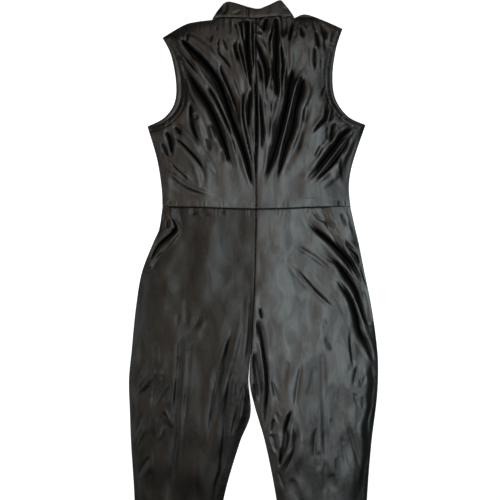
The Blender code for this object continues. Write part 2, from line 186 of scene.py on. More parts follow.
def crease(x0: float, y0: float, x1: float, y1: float, width: float, height: float, bow: float = 0.0,
           form: Form = Form.PLEAT) -> Fold:
    """A short or simple fold, given by its two ends.

    Args:
        x0: Where it starts.
        y0: Where it starts.
        x1: Where it ends.
        y1: Where it ends.
        width: Its greatest width.
        height: Its height, below 0 for a trough.
        bow: How far its middle bows to the left of its direction.
        form: Its cross-section.

    Returns:
        The fold, narrower at its ends.
    """
    length = math.hypot(x1 - x0, y1 - y0)
    middle = ((x0 + x1) / 2 - (y1 - y0) / length * bow, (y0 + y1) / 2 + (x1 - x0) / length * bow)
    return Fold(height, ((x0, y0, CREASE_ENDS[0] * width), (*middle, width),
                         (x1, y1, CREASE_ENDS[1] * width)), form=form)


SOFT, CREST = Form.SOFT, Form.CREST
soft = partial(crease, form=SOFT)
crest = partial(crease, form=CREST)

BODICE_RIGHT_FOLDS = (
    # the fan from the shoulder and armhole to the centre seam
    Fold(-8.5, ((-152, 340, 8), (-136, 321, 15), (-106, 293, 18), (-82, 263, 21), (-64, 225, 18),
                (-49, 177, 15), (-31, 131, 14), (-18, 90, 10), (-4, 28, 3)), enter=0.06, leave=0.2),
    crease(-137, 349, -139, 326, 5, -2.0),
    Fold(-8.0, ((-160, 301, 3), (-149, 285, 8), (-136, 266, 14), (-117, 236, 17), (-94, 202, 15),
                (-75, 159, 14), (-62, 123, 11), (-45, 72, 4)), enter=0.12, leave=0.25),
    Fold(-3.0, ((-175, 337, 2), (-158, 316, 5), (-128, 280, 8), (-106, 250, 3))),
    crease(-131, 309, -118, 288, 4, -2.0),
    Fold(-4.5, ((-101, 252, 6), (-94, 237, 9), (-78, 210, 9), (-57, 164, 7), (-44, 128, 3))),
    Fold(-4.0, ((-69, 291, 3), (-70, 272, 5), (-52, 230, 7), (-46, 214, 6), (-33, 174, 2))),
    Fold(-4.5, ((-134, 214, 5), (-131, 200, 9), (-130, 180, 13), (-126, 158, 12), (-109, 118, 4))),
    soft(-122, 188, -118, 172, 9, -1.5),
    crease(-140, 233, -122, 206, 3, -1.5),
    Fold(-3.0, ((-143, 236, 4), (-143, 218, 6), (-144, 196, 6))),
    Fold(-3.5, ((-163, 162, 4), (-156, 153, 8), (-148, 142, 4))),
    Fold(-3.4, ((-166, 146, 4), (-152, 131, 7), (-134, 113, 8), (-115, 91, 8), (-105, 70, 9), (-102, 32, 8)),
         leave=0.5),
    Fold(-5.0, ((-181, 155, 4), (-176, 146, 9), (-171, 128, 10), (-168, 99, 5))),
    Fold(-4.5, ((-190, 129, 3), (-184, 118, 8), (-176, 99, 4))),
    crease(-188, 112, -186, 91, 5, -1.5),
    # gathers under the collar
    Fold(-2.4, ((-75, 340, 3), (-75, 311, 3), (-63, 296, 5), (-44, 268, 2))),
    soft(-55, 374, -53, 340, 10, -1.4),
    crease(-67, 338, -55, 305, 4, -1.4),
    Fold(-2.8, ((-40, 334, 3), (-42, 318, 5), (-38, 303, 7), (-35, 284, 3))),
    crease(-88, 345, -92, 325, 5, -1.6),
    crease(-79, 362, -78, 350, 4, -1.2),
    crease(-45, 367, -37, 350, 4, -1.6),
    Fold(-3.6, ((-33, 374, 4), (-29, 356, 6), (-24, 326, 5))),
    Fold(-6.5, ((-16, 374, 7), (-17, 350, 11), (-18, 328, 13), (-16, 298, 10), (-13, 267, 6), (-9, 226, 3)),
         enter=0.05),
    Fold(-3.2, ((-33, 336, 3), (-32, 316, 5), (-27, 297, 5), (-16, 246, 2))),
    Fold(-3.0, ((-7, 374, 4), (-8, 339, 4), (-4, 262, 3)), enter=0.05),
    # beside the centre seam
    Fold(-4.0, ((-5, 270, 4), (-3, 257, 6), (1, 216, 7), (2, 190, 6), (1, 136, 5), (0, 45, 2))),
    Fold(-4.0, ((-8, 240, 3), (-12, 221, 7), (-14, 195, 8), (-15, 165, 7), (-12, 142, 3))),
    Fold(-3.8, ((-24, 238, 3), (-26, 195, 5), (-24, 171, 6), (-17, 133, 5), (-4, 70, 2))),
    # low on the side
    soft(-158, 172, -74, 56, 13, 1.8),
    crest(-182, 78, -78, 20, 15, 3.0, -8),
    crest(-176, 96, -120, 45, 7, 2.0),
    crease(-172, 88, -128, 47, 5, -1.6),
    Fold(-2.2, ((-177, 64, 10), (-154, 38, 15), (-123, 24, 15), (-100, 18, 10)), form=SOFT),
    Fold(-2.4, ((-99, 140, 6), (-95, 125, 9), (-93, 108, 5))),
    soft(-70, 120, -68, 85, 12, -1.3),
    soft(-66, 114, -58, 86, 6, 1.5),
    soft(-50, 140, -35, 72, 8, 2.0),
    soft(-93, 165, -84, 124, 12, 1.6),
    crease(-190, -12, -166, 17, 6, -2.0),
    soft(-180, 52, -178, 12, 16, 1.5),
)

BODICE_LEFT_FOLDS = (
    # gathers under the collar
    Fold(-5.0, ((-3, 342, 3), (1, 330, 6), (9, 312, 10), (16, 290, 9), (21, 265, 8), (20, 222, 2))),
    Fold(-3.0, ((1, 298, 3), (6, 284, 6), (11, 256, 6), (12, 241, 3))),
    Fold(-7.5, ((41, 379, 8), (41, 350, 9), (41, 315, 9), (40, 275, 9), (42, 245, 8), (43, 205, 5)),
         enter=0.05, leave=0.3),
    Fold(-4.0, ((47, 332, 3), (51, 312, 6), (54, 282, 6), (52, 258, 5), (53, 222, 3))),
    soft(57, 300, 57, 280, 6, -1.0),
    Fold(-6.5, ((57, 386, 26), (55, 366, 30), (54, 352, 22), (53, 334, 8)), enter=0.05),
    Fold(-5.0, ((75, 375, 6), (71, 357, 7), (65, 326, 3)), enter=0.1),
    Fold(-4.2, ((22, 377, 4), (17, 362, 9), (16, 346, 4)), enter=0.1),
    Fold(-3.8, ((35, 358, 3), (31, 347, 6), (28, 338, 6), (24, 326, 3))),
    crest(-3, 367, 12, 352, 5, 2.0),
    crest(-6, 348, 15, 339, 5, 1.5),
    soft(3, 351, 14, 345, 5, -1.5),
    Fold(-3.2, ((88, 364, 3), (90, 354, 7), (93, 345, 8), (96, 334, 3))),
    soft(101, 367, 98, 356, 6, -1.0),
    Fold(-4.0, ((130, 371, 3), (134, 358, 7), (138, 347, 8), (139, 328, 4))),
    soft(138, 332, 139, 312, 8, -1.0),
    Fold(-3.2, ((119, 353, 3), (123, 338, 7), (125, 324, 8), (126, 311, 4))),
    soft(117, 368, 119, 350, 6, -1.0),
    Fold(-4.2, ((162, 363, 5), (157, 344, 8), (153, 325, 7), (147, 296, 3))),
    crease(163, 360, 155, 320, 3, -1.0),
    crease(118, 324, 118, 266, 7, -2.2),
    crease(131, 298, 130, 270, 4, -1.0),
    Fold(-1.1, ((94, 345, 8), (87, 322, 15), (82, 300, 17), (74, 270, 9)), enter=0.45, leave=0.5, form=SOFT),
    # the fan from the shoulder and armhole to the waist
    Fold(-8.0, ((77, 287, 4), (72, 267, 11), (66, 236, 13), (61, 203, 14), (52, 168, 15), (44, 136, 12),
                (35, 105, 11), (14, 42, 4)), enter=0.15, leave=0.3),
    Fold(2.0, ((108, 284, 8), (88, 260, 9), (73, 220, 8), (56, 150, 8), (38, 80, 8)), form=SOFT),
    Fold(-6.5, ((98, 264, 3), (93, 246, 10), (88, 224, 13), (80, 198, 10), (72, 152, 10), (60, 120, 9),
                (39, 43, 3)), enter=0.12, leave=0.3),
    crease(74, 193, 70, 172, 4, -2.0),
    Fold(-2.2, ((141, 244, 3), (134, 227, 6), (128, 219, 4))),
    Fold(-4.0, ((148, 215, 4), (143, 196, 7), (139, 176, 7), (128, 165, 6), (108, 142, 2))),
    Fold(-5.0, ((157, 197, 3), (152, 182, 7), (145, 166, 2))),
    Fold(-3.8, ((163, 170, 3), (154, 158, 6), (150, 140, 6), (147, 122, 2))),
    soft(144, 162, 143, 130, 7, -1.5),
    Fold(-6.0, ((196, 164, 3), (182, 152, 9), (170, 140, 11), (152, 115, 11), (134, 93, 10), (117, 71, 9),
                (92, 44, 5)), enter=0.1, leave=0.5),
    Fold(-4.2, ((193, 141, 3), (184, 128, 6), (168, 104, 9), (156, 88, 10), (142, 73, 9), (108, 42, 3))),
    Fold(2.4, ((198, 152, 4), (170, 124, 7), (150, 97, 7), (125, 66, 7), (95, 42, 6)), form=CREST),
    Fold(-6.5, ((204, 142, 3), (198, 124, 6), (191, 106, 9), (184, 88, 14), (179, 72, 18), (180, 56, 13),
                (187, 36, 3))),
    soft(106, 130, 58, 52, 26, 1.6),
    soft(99, 200, 97, 165, 9, -1.3),
    Fold(-1.2, ((84, 160, 14), (86, 140, 14), (76, 105, 12)), form=SOFT),
    soft(131, 125, 118, 92, 8, -1.4),
    soft(80, 14, 178, 14, 10, -0.9),
    crease(147, 262, 152, 224, 4, -1.6),
    # beside the centre seam
    Fold(-4.2, ((7, 233, 3), (9, 200, 6), (13, 165, 6), (14, 150, 6), (11, 105, 2))),
    soft(19, 215, 20, 150, 7, -1.3),
    crease(31, 262, 30, 228, 8, -2.0),
)

LEG_RIGHT_FOLDS = (
    soft(-140, -20, -152, -210, 52, -1.4, 3),
    soft(-92, -20, -108, -225, 60, 1.6),
    soft(-140, -180, -137, -240, 14, -0.8),
    Fold(-1.9, ((-146, -252, 5), (-152, -280, 10), (-153, -305, 9), (-156, -340, 11), (-160, -390, 12),
                (-161, -440, 12), (-167, -500, 11), (-174, -575, 12), (-182, -640, 8)), enter=0.08),
    Fold(1.6, ((-98, -222, 10), (-112, -245, 20), (-128, -268, 22), (-142, -285, 16),
               (-150, -298, 8)), form=SOFT),
    Fold(1.4, ((-142, -300, 16), (-143, -340, 17), (-149, -400, 14), (-154, -460, 13),
               (-162, -560, 12)), form=SOFT),
    Fold(-2.7, ((-46, -238, 4), (-53, -262, 5), (-62, -295, 8), (-70, -325, 12), (-77, -350, 13),
                (-84, -385, 12), (-90, -430, 10), (-97, -472, 4)), enter=0.2, leave=0.25),
    Fold(1.9, ((-32, -232, 9), (-46, -295, 14), (-61, -350, 16), (-70, -400, 14), (-78, -450, 13),
               (-84, -476, 8)), form=SOFT),
    crease(-62, -365, -70, -412, 4, -0.5),
    Fold(-2.0, ((-49, -338, 5), (-55, -370, 9), (-59, -410, 9), (-63, -450, 10), (-67, -495, 10),
                (-73, -530, 6), (-80, -560, 9), (-88, -620, 5)), enter=0.15),
    Fold(1.2, ((-40, -335, 10), (-45, -375, 13), (-49, -415, 10)), form=SOFT),
    Fold(-1.8, ((-24, -345, 5), (-29, -375, 10), (-34, -400, 10), (-41, -425, 8), (-51, -463, 4))),
    Fold(-1.6, ((-15, -414, 5), (-20, -430, 9), (-29, -462, 4))),
    Fold(1.6, ((-25, -365, 9), (-26, -400, 16), (-29, -425, 14), (-33, -445, 8)), form=SOFT),
    Fold(-2.4, ((-12, -165, 4), (-12, -205, 10), (-12, -240, 9), (-14, -265, 9), (-17, -300, 9),
                (-21, -342, 5))),
    Fold(-1.6, ((-24, -346, 4), (-19, -372, 5), (-15, -395, 5), (-11, -418, 5))),
    crest(-17, -352, -13, -398, 6, 1.0),
    # crumpled cloth along the outseam above the knee
    Fold(1.2, ((-234, -205, 9), (-232, -245, 16), (-231, -285, 17), (-237, -315, 13),
               (-246, -343, 6)), form=SOFT),
    Fold(1.1, ((-199, -276, 10), (-198, -298, 12), (-200, -318, 8)), form=SOFT),
    Fold(-1.2, ((-214, -300, 8), (-228, -328, 14), (-240, -350, 12), (-248, -366, 5))),
    Fold(1.6, ((-200, -315, 6), (-209, -337, 13), (-222, -354, 14), (-243, -376, 10)), form=SOFT),
    Fold(1.4, ((-241, -370, 13), (-240, -400, 16), (-242, -428, 14), (-245, -450, 6)), form=SOFT),
    Fold(-1.4, ((-199, -330, 8), (-202, -358, 8), (-205, -385, 8), (-210, -410, 5))),
    soft(-190, -320, -194, -356, 10, 1.0),
    Fold(1.4, ((-174, -350, 6), (-187, -374, 10), (-204, -405, 6)), form=CREST),
    Fold(-1.5, ((-172, -355, 6), (-178, -375, 9), (-184, -396, 5))),
    Fold(1.2, ((-163, -335, 8), (-166, -365, 10), (-169, -392, 12), (-171, -408, 6)), form=SOFT),
    Fold(1.5, ((-184, -398, 5), (-177, -415, 8), (-170, -431, 8), (-163, -444, 5)), form=CREST),
    crease(-188, -408, -176, -425, 6, -1.0),
    Fold(-1.2, ((-186, -408, 6), (-190, -430, 9), (-196, -466, 5))),
    crest(-180, -435, -195, -470, 10, 1.2),
    Fold(1.6, ((-218, -434, 6), (-228, -453, 10), (-237, -471, 10), (-244, -492, 8)), form=SOFT),
    Fold(-1.3, ((-224, -408, 6), (-233, -433, 10), (-244, -463, 6))),
    crease(-213, -412, -214, -445, 8, -0.8),
    Fold(-1.7, ((-210, -496, 6), (-221, -512, 12), (-229, -524, 12), (-237, -542, 5))),
    Fold(1.2, ((-237, -495, 10), (-239, -530, 13), (-238, -560, 16), (-236, -600, 13)), form=SOFT),
    soft(-214, -520, -215, -590, 16, -0.8),
    soft(-209, -480, -207, -545, 6, 0.6),
    crease(-105, -205, -130, -252, 12, -1.1),
    soft(-155, -210, -158, -240, 10, -0.7),
    crease(-228, -215, -230, -235, 5, -0.5),
    # small tucks at the waist
    soft(-128, -2, -122, -18, 14, -1.5),
    soft(-114, -4, -92, -18, 12, -1.5),
    soft(-68, -3, -66, -16, 8, -1.0),
    # below the knee
    crease(-180, -610, -186, -880, 21, -1.6, 4),
    crease(-120, -640, -150, -1010, 18, -1.4, -5),
    soft(-212, -700, -196, -1030, 23, -1.1),
    soft(-160, -760, -172, -1040, 29, 1.2),
)

LEG_LEFT_FOLDS = (
    # drag lines over the hip
    Fold(-6.0, ((101, -14, 7), (103, -28, 13), (118, -44, 13), (150, -71, 14), (178, -100, 14),
                (192, -117, 11), (206, -135, 9), (223, -162, 4)), enter=0.3, leave=0.15),
    Fold(-1.9, ((110, -7, 5), (124, -21, 8), (142, -32, 8), (158, -52, 4))),
    Fold(-6.0, ((117, -74, 8), (128, -90, 11), (146, -104, 11), (162, -114, 9), (178, -134, 13),
                (196, -160, 11), (209, -192, 12), (226, -240, 7)), enter=0.5, leave=0.1),
    Fold(-1.8, ((78, -77, 8), (112, -98, 10), (134, -114, 10), (156, -132, 8)), form=SOFT),
    Fold(-5.5, ((156, -134, 8), (167, -152, 10), (188, -183, 9), (200, -215, 12), (209, -252, 11),
                (224, -278, 10), (238, -315, 4)), enter=0.35, leave=0.12),
    Fold(-3.5, ((212, -160, 4), (217, -175, 7), (223, -195, 8), (227, -224, 5))),
    Fold(-3.6, ((147, -6, 4), (158, -19, 9), (172, -27, 9), (184, -38, 9), (195, -55, 4))),
    Fold(-2.5, ((161, -35, 3), (172, -47, 5), (184, -58, 5), (196, -64, 3))),
    Fold(-2.6, ((80, -124, 2), (100, -146, 3), (118, -167, 4), (138, -186, 5), (161, -207, 2))),
    soft(60, -112, 152, -212, 18, -1.5),
    crease(134, -222, 141, -238, 5, -0.8),
    Fold(-1.3, ((135, -256, 4), (142, -273, 6), (154, -294, 3))),
    # crotch and inner thigh
    Fold(-3.4, ((1, -222, 6), (6, -240, 10), (12, -266, 8), (17, -298, 7), (22, -335, 7), (22, -372, 8),
                (18, -405, 10), (17, -448, 6)), enter=0.08, leave=0.1),
    Fold(-3.4, ((-4, -286, 7), (0, -318, 13), (4, -345, 16), (8, -370, 16), (6, -400, 14),
                (8, -425, 9)), enter=0.12),
    Fold(1.6, ((1, -262, 7), (9, -286, 9), (13, -325, 9), (15, -365, 9), (11, -402, 7)), form=SOFT),
    crest(-8, -345, 0, -388, 5, 1.6),
    crease(8, -200, 12, -226, 5, -3.0),
    Fold(-1.6, ((28, -342, 3), (36, -363, 7), (43, -383, 8), (45, -394, 5))),
    crease(40, -410, 44, -430, 7, -1.2),
    Fold(-2.5, ((35, -422, 6), (33, -438, 8), (30, -456, 7))),
    Fold(-2.9, ((29, -454, 9), (34, -464, 12), (38, -477, 10), (43, -494, 5)), enter=0.1),
    Fold(1.9, ((17, -450, 5), (28, -476, 7), (42, -503, 6)), form=CREST),
    crease(22, -462, 30, -488, 5, -1.2),
    crease(44, -528, 57, -566, 7, -1.2),
    # down the front of the leg
    Fold(-1.9, ((91, -308, 6), (86, -338, 10), (81, -370, 13), (78, -393, 10), (70, -408, 6))),
    Fold(-3.5, ((71, -404, 5), (64, -425, 9), (59, -443, 10), (60, -462, 13), (57, -480, 13), (50, -494, 10),
                (46, -524, 5)), enter=0.12, leave=0.15),
    Fold(-2.0, ((82, -438, 5), (80, -462, 8), (77, -484, 8), (71, -503, 9), (57, -534, 5))),
    Fold(1.8, ((72, -432, 7), (67, -470, 10), (61, -498, 10), (50, -530, 8)), form=SOFT),
    soft(62, -305, 56, -355, 14, -0.9),
    Fold(-1.5, ((120, -440, 8), (117, -470, 9), (116, -510, 7))),
    soft(125, -485, 124, -530, 16, -1.0),
    soft(131, -265, 142, -560, 14, -0.9),
    soft(138, -500, 140, -590, 16, -0.9),
    Fold(-1.2, ((183, -425, 7), (191, -462, 10), (206, -515, 10), (208, -540, 7))),
    soft(150, -420, 155, -450, 8, -0.6),
    soft(160, -500, 163, -530, 8, -0.6),
    soft(170, -455, 183, -525, 10, -0.9),
    Fold(-1.5, ((203, -315, 5), (199, -335, 9), (193, -360, 6))),
    crease(207, -340, 210, -365, 6, -0.9),
    crease(219, -335, 210, -363, 6, -1.0),
    crease(212, -375, 215, -405, 7, -0.9),
    soft(196, -370, 204, -398, 9, -0.9),
    soft(187, -250, 195, -325, 8, -1.4),
    soft(70, -540, 84, -590, 18, -1.0),
    soft(150, -530, 156, -570, 16, -0.7),
    # the dark strip along the outseam
    Fold(-2.4, ((231, -312, 8), (233, -330, 13), (236, -350, 9), (232, -375, 12), (230, -398, 8),
                (224, -424, 9), (224, -445, 15), (225, -470, 17), (222, -500, 14), (216, -530, 15),
                (212, -575, 16), (214, -640, 12)), enter=0.06, leave=0.45),
    # below the knee
    crease(146, -600, 150, -880, 15, -2.6, -4),
    crease(90, -560, 118, -960, 14, -2.6, 5),
    soft(188, -680, 180, -1030, 18, -2.2),
    soft(130, -760, 146, -1040, 22, 2.0),
)

# Each pocket: first the dark hollow at its mouth, which the front leg's edge shares, and then the
# small folds of the facing beyond it.
POCKET_FOLDS = {
    Side.RIGHT: (
        Fold(-6.5, ((-168, -22, 3), (-163, -34, 6), (-161, -46, 8), (-176, -59, 12), (-192, -74, 12),
                    (-204, -92, 7), (-212, -108, 3)), enter=0.1, leave=0.2),
        crest(-187, -8, -188, -58, 9, 1.4),
        crease(-182, -14, -150, -20, 8, -1.2),
        crease(-176, -22, -178, -46, 5, -2.4),
        crest(-196, -78, -212, -110, 8, 1.0),
    ),
    Side.LEFT: (
        Fold(-5.5, ((176, -66, 4), (188, -84, 9), (201, -98, 11), (207, -118, 5)), enter=0.15, leave=0.2),
        crease(168, -10, 184, -44, 8, -2.4),
        crest(206, -122, 222, -170, 6, 1.0),
        crest(176, -20, 194, -60, 7, 1.0),
    ),
}

FRONT_FOLDS = BODICE_RIGHT_FOLDS + BODICE_LEFT_FOLDS + LEG_RIGHT_FOLDS + LEG_LEFT_FOLDS


# ---------------------------------------------------------------- curves

def smooth(value: Array) -> Array:
    """Ease from 0 to 1 as value goes from 0 to 1."""
    held = np.clip(value, 0.0, 1.0)
    return held * held * (3.0 - 2.0 * held)


class Curve:
    """Smooth curve through given places, read by shares of its length."""

    STEPS = 24      # fine points between two places

    def __init__(self, places: Sequence[Pair], steps: int = STEPS) -> None:
        """Sample the curve finely.

        Args:
            places: The points it goes through.
            steps: Fine points between two places.
        """
        held = np.array(places, float)
        held = np.vstack([held[:1], held, held[-1:]])
        t = np.arange(steps)[:, None] / steps
        runs = [self._span(held[i:i + 4], t) for i in range(len(places) - 1)]
        self.points = np.vstack([*runs, held[-1:]])
        lengths = np.linalg.norm(np.diff(self.points[:, :2], axis=0), axis=1)
        self.runs = np.concatenate([[0.0], np.cumsum(lengths)])

    @staticmethod
    def _span(four: Array, t: Array) -> Array:
        """Points of one span, from its two ends and their neighbours.

        Args:
            four: The place before, the two ends and the place after.
            t: Fractions along the span.

        Returns:
            One point for each fraction.
        """
        before, start, end, after = four
        return 0.5 * (2 * start + (end - before) * t + (2 * before - 5 * start + 4 * end - after) * t ** 2
                      + (3 * start - before - 3 * end + after) * t ** 3)

    @property
    def length(self) -> float:
        """Length of the curve."""
        return float(self.runs[-1])

    def at(self, share: Array) -> Array:
        """Points at shares of the length, as rows of x and y."""
        goal = np.clip(share, 0.0, 1.0) * self.runs[-1]
        return np.stack([np.interp(goal, self.runs, self.points[:, axis]) for axis in (0, 1)], axis=-1)

    def inward(self, share: Array, side: Side) -> Array:
        """Unit directions square to the curve that point into the panel of a side.

        Args:
            share: Shares of the length.
            side: The wearer's side.

        Returns:
            One direction for each share.
        """
        along = self.at(share + 0.01) - self.at(share - 0.01)
        along /= np.linalg.norm(along, axis=-1, keepdims=True)
        return side.value * np.stack([along[..., 1], -along[..., 0]], axis=-1)


class Trail(Curve):
    """A fold's line, with the fold's width along it."""

    FOLD_STEPS = 5
    LEAST_WIDTH = 2.0

    def __init__(self, fold: Fold) -> None:
        """Lay the line through the fold's places."""
        super().__init__(fold.places, self.FOLD_STEPS)

    def width(self, share: Array) -> Array:
        """Width of the fold at shares of its length."""
        return np.maximum(np.interp(share * self.runs[-1], self.runs, self.points[:, 2]), self.LEAST_WIDTH)

    def against(self, x: Array, y: Array) -> tuple[Array, Array]:
        """Where places lie against the line.

        Args:
            x: Places' x.
            y: Places' y.

        Returns:
            The share of the length at the nearest point, and the distance to the left of it.
        """
        gap, share, left = np.full(x.shape, np.inf), np.zeros(x.shape), np.zeros(x.shape)
        for run, one, two in zip(self.runs, self.points[:, :2], self.points[1:, :2]):
            step = two - one
            length = max(float(np.hypot(*step)), TINY)
            along = np.clip(((x - one[0]) * step[0] + (y - one[1]) * step[1]) / length, 0.0, length)
            away = np.hypot(x - one[0] - along * step[0] / length, y - one[1] - along * step[1] / length)
            turn = np.sign((y - one[1]) * step[0] - (x - one[0]) * step[1])
            closer = away < gap
            gap, left = np.where(closer, away, gap), np.where(closer, away * turn, left)
            share = np.where(closer, (run + along) / self.runs[-1], share)
        return share, left

    def near(self, x: Array, y: Array, reach: float) -> Array:
        """Which places lie within reach of the box round the line."""
        low, high = self.points.min(axis=0), self.points.max(axis=0)
        return ((x > low[0] - reach) & (x < high[0] + reach) & (y > low[1] - reach) & (y < high[1] + reach))


@lru_cache(maxsize=None)
def trail(fold: Fold) -> Trail:
    """The line of a fold, made once."""
    return Trail(fold)


@lru_cache(maxsize=None)
def curve(places: tuple[Pair, ...]) -> Curve:
    """The curve through places, made once."""
    return Curve(places)


@lru_cache(maxsize=None)
def level_table(side: Side) -> tuple[Array, Array, Array]:
    """Leg outline read finely from its levels.

    Args:
        side: The wearer's side.

    Returns:
        Heights in rising order, with the outseam's and the inner edge's x at each.
    """
    levels = np.array(LEG[side], float)
    heights, edges = [], []
    for index in range(len(levels) - 1):
        above, below = levels[index], levels[index + 1]
        before, after = levels[max(index - 1, 0)], levels[min(index + 2, len(levels) - 1)]
        span = above[0] - below[0]
        slope_above = (below - before) / max(before[0] - below[0], span)
        slope_below = (after - above) / max(above[0] - after[0], span)
        t = np.linspace(0.0, 1.0, int(span) + 1)[:, None]
        edges.append((2 * t ** 3 - 3 * t ** 2 + 1) * above + (t ** 3 - 2 * t ** 2 + t) * span * slope_above
                     + (3 * t ** 2 - 2 * t ** 3) * below + (t ** 3 - t ** 2) * span * slope_below)
        heights.append(above[0] - span * t[:, 0])
    y, rows = np.concatenate(heights)[::-1], np.vstack(edges)[::-1]
    return y, rows[:, 1], rows[:, 2]


def outseam_x(side: Side, y: Array) -> Array:
    """X of the outseam at heights y."""
    table = level_table(side)
    return np.interp(y, table[0], table[1])


def inner_x(side: Side, y: Array) -> Array:
    """X of the centre seam or inseam at heights y."""
    table = level_table(side)
    return np.interp(y, table[0], table[2])


def mouth_x(side: Side, y: Array) -> Array:
    """X of the pocket mouth at heights y."""
    places = np.array(MOUTH[side], float)[::-1]
    return np.interp(y, places[:, 1], places[:, 0])


def waist_y(x: Array) -> Array:
    """Height of the waist seam, which hangs lower at the centre."""
    return -WAIST_SAG * (1.0 - smooth(np.abs(x) / SAG_REACH))


def neck_y(x: Array) -> Array:
    """Height of the neck seam at x."""
    line = np.vstack([curve(NECK[Side.RIGHT]).points[::-1], curve(NECK[Side.LEFT]).points[1:]])
    return np.interp(x, line[:, 0], line[:, 1])


def armhole_at(side: Side, share: Array, step: float | Array) -> Array:
    """Points on an armhole, moved into the panel.

    Args:
        side: The wearer's side.
        share: Shares of the armhole's length from the shoulder.
        step: How far the points move in half-way round.

    Returns:
        Rows of x and y.
    """
    line = curve(ARMHOLE[side])
    reach = step * np.sin(np.pi * np.clip(share, 0.0, 1.0)) ** ARMHOLE_ROUNDING
    return line.at(share) + line.inward(share, side) * np.asarray(reach)[..., None]


@lru_cache(maxsize=None)
def armhole_line(side: Side, step: float) -> Array:
    """An armhole as a run of short straight pieces, moved in by step half-way round."""
    return armhole_at(side, np.linspace(0.0, 1.0, ARMHOLE_POINTS), step)


def nearest(line: Array, x: Array, y: Array) -> tuple[Array, Array]:
    """Distance to a run of straight pieces, and the length along it to the nearest point.

    Args:
        line: The run's points.
        x: Places' x.
        y: Places' y.

    Returns:
        The distances and the lengths along the line.
    """
    away, along = np.full(x.shape, np.inf), np.zeros(x.shape)
    run = 0.0
    for one, two in zip(line, line[1:]):
        step = two - one
        length = float(np.hypot(*step))
        share = np.clip(((x - one[0]) * step[0] + (y - one[1]) * step[1]) / max(length * length, TINY), 0, 1)
        gap = np.hypot(x - one[0] - share * step[0], y - one[1] - share * step[1])
        closer = gap < away
        away, along = np.where(closer, gap, away), np.where(closer, run + share * length, along)
        run += length
    return away, along


# ---------------------------------------------------------------- the height of the cloth

@dataclass(frozen=True)
class Ripple:
    """One long low wave of the cloth, to keep it from lying perfectly flat."""

    heading: float      # degrees
    wave: float         # wavelength, mm
    height: float       # mm
    start: float        # phase, radians


RIPPLES = (Ripple(12, 118, 0.75, 0.4), Ripple(68, 87, 0.42, 2.1), Ripple(151, 64, 0.38, 4.4),
           Ripple(17, 41, 0.16, 1.3), Ripple(168, 33, 0.12, 3.0), Ripple(160, 151, 0.80, 5.2))

DRIFT = 22.0            # how far a ripple's crests wander, mm
DRIFT_WAVES = 1.7       # and over how much of its own wavelength


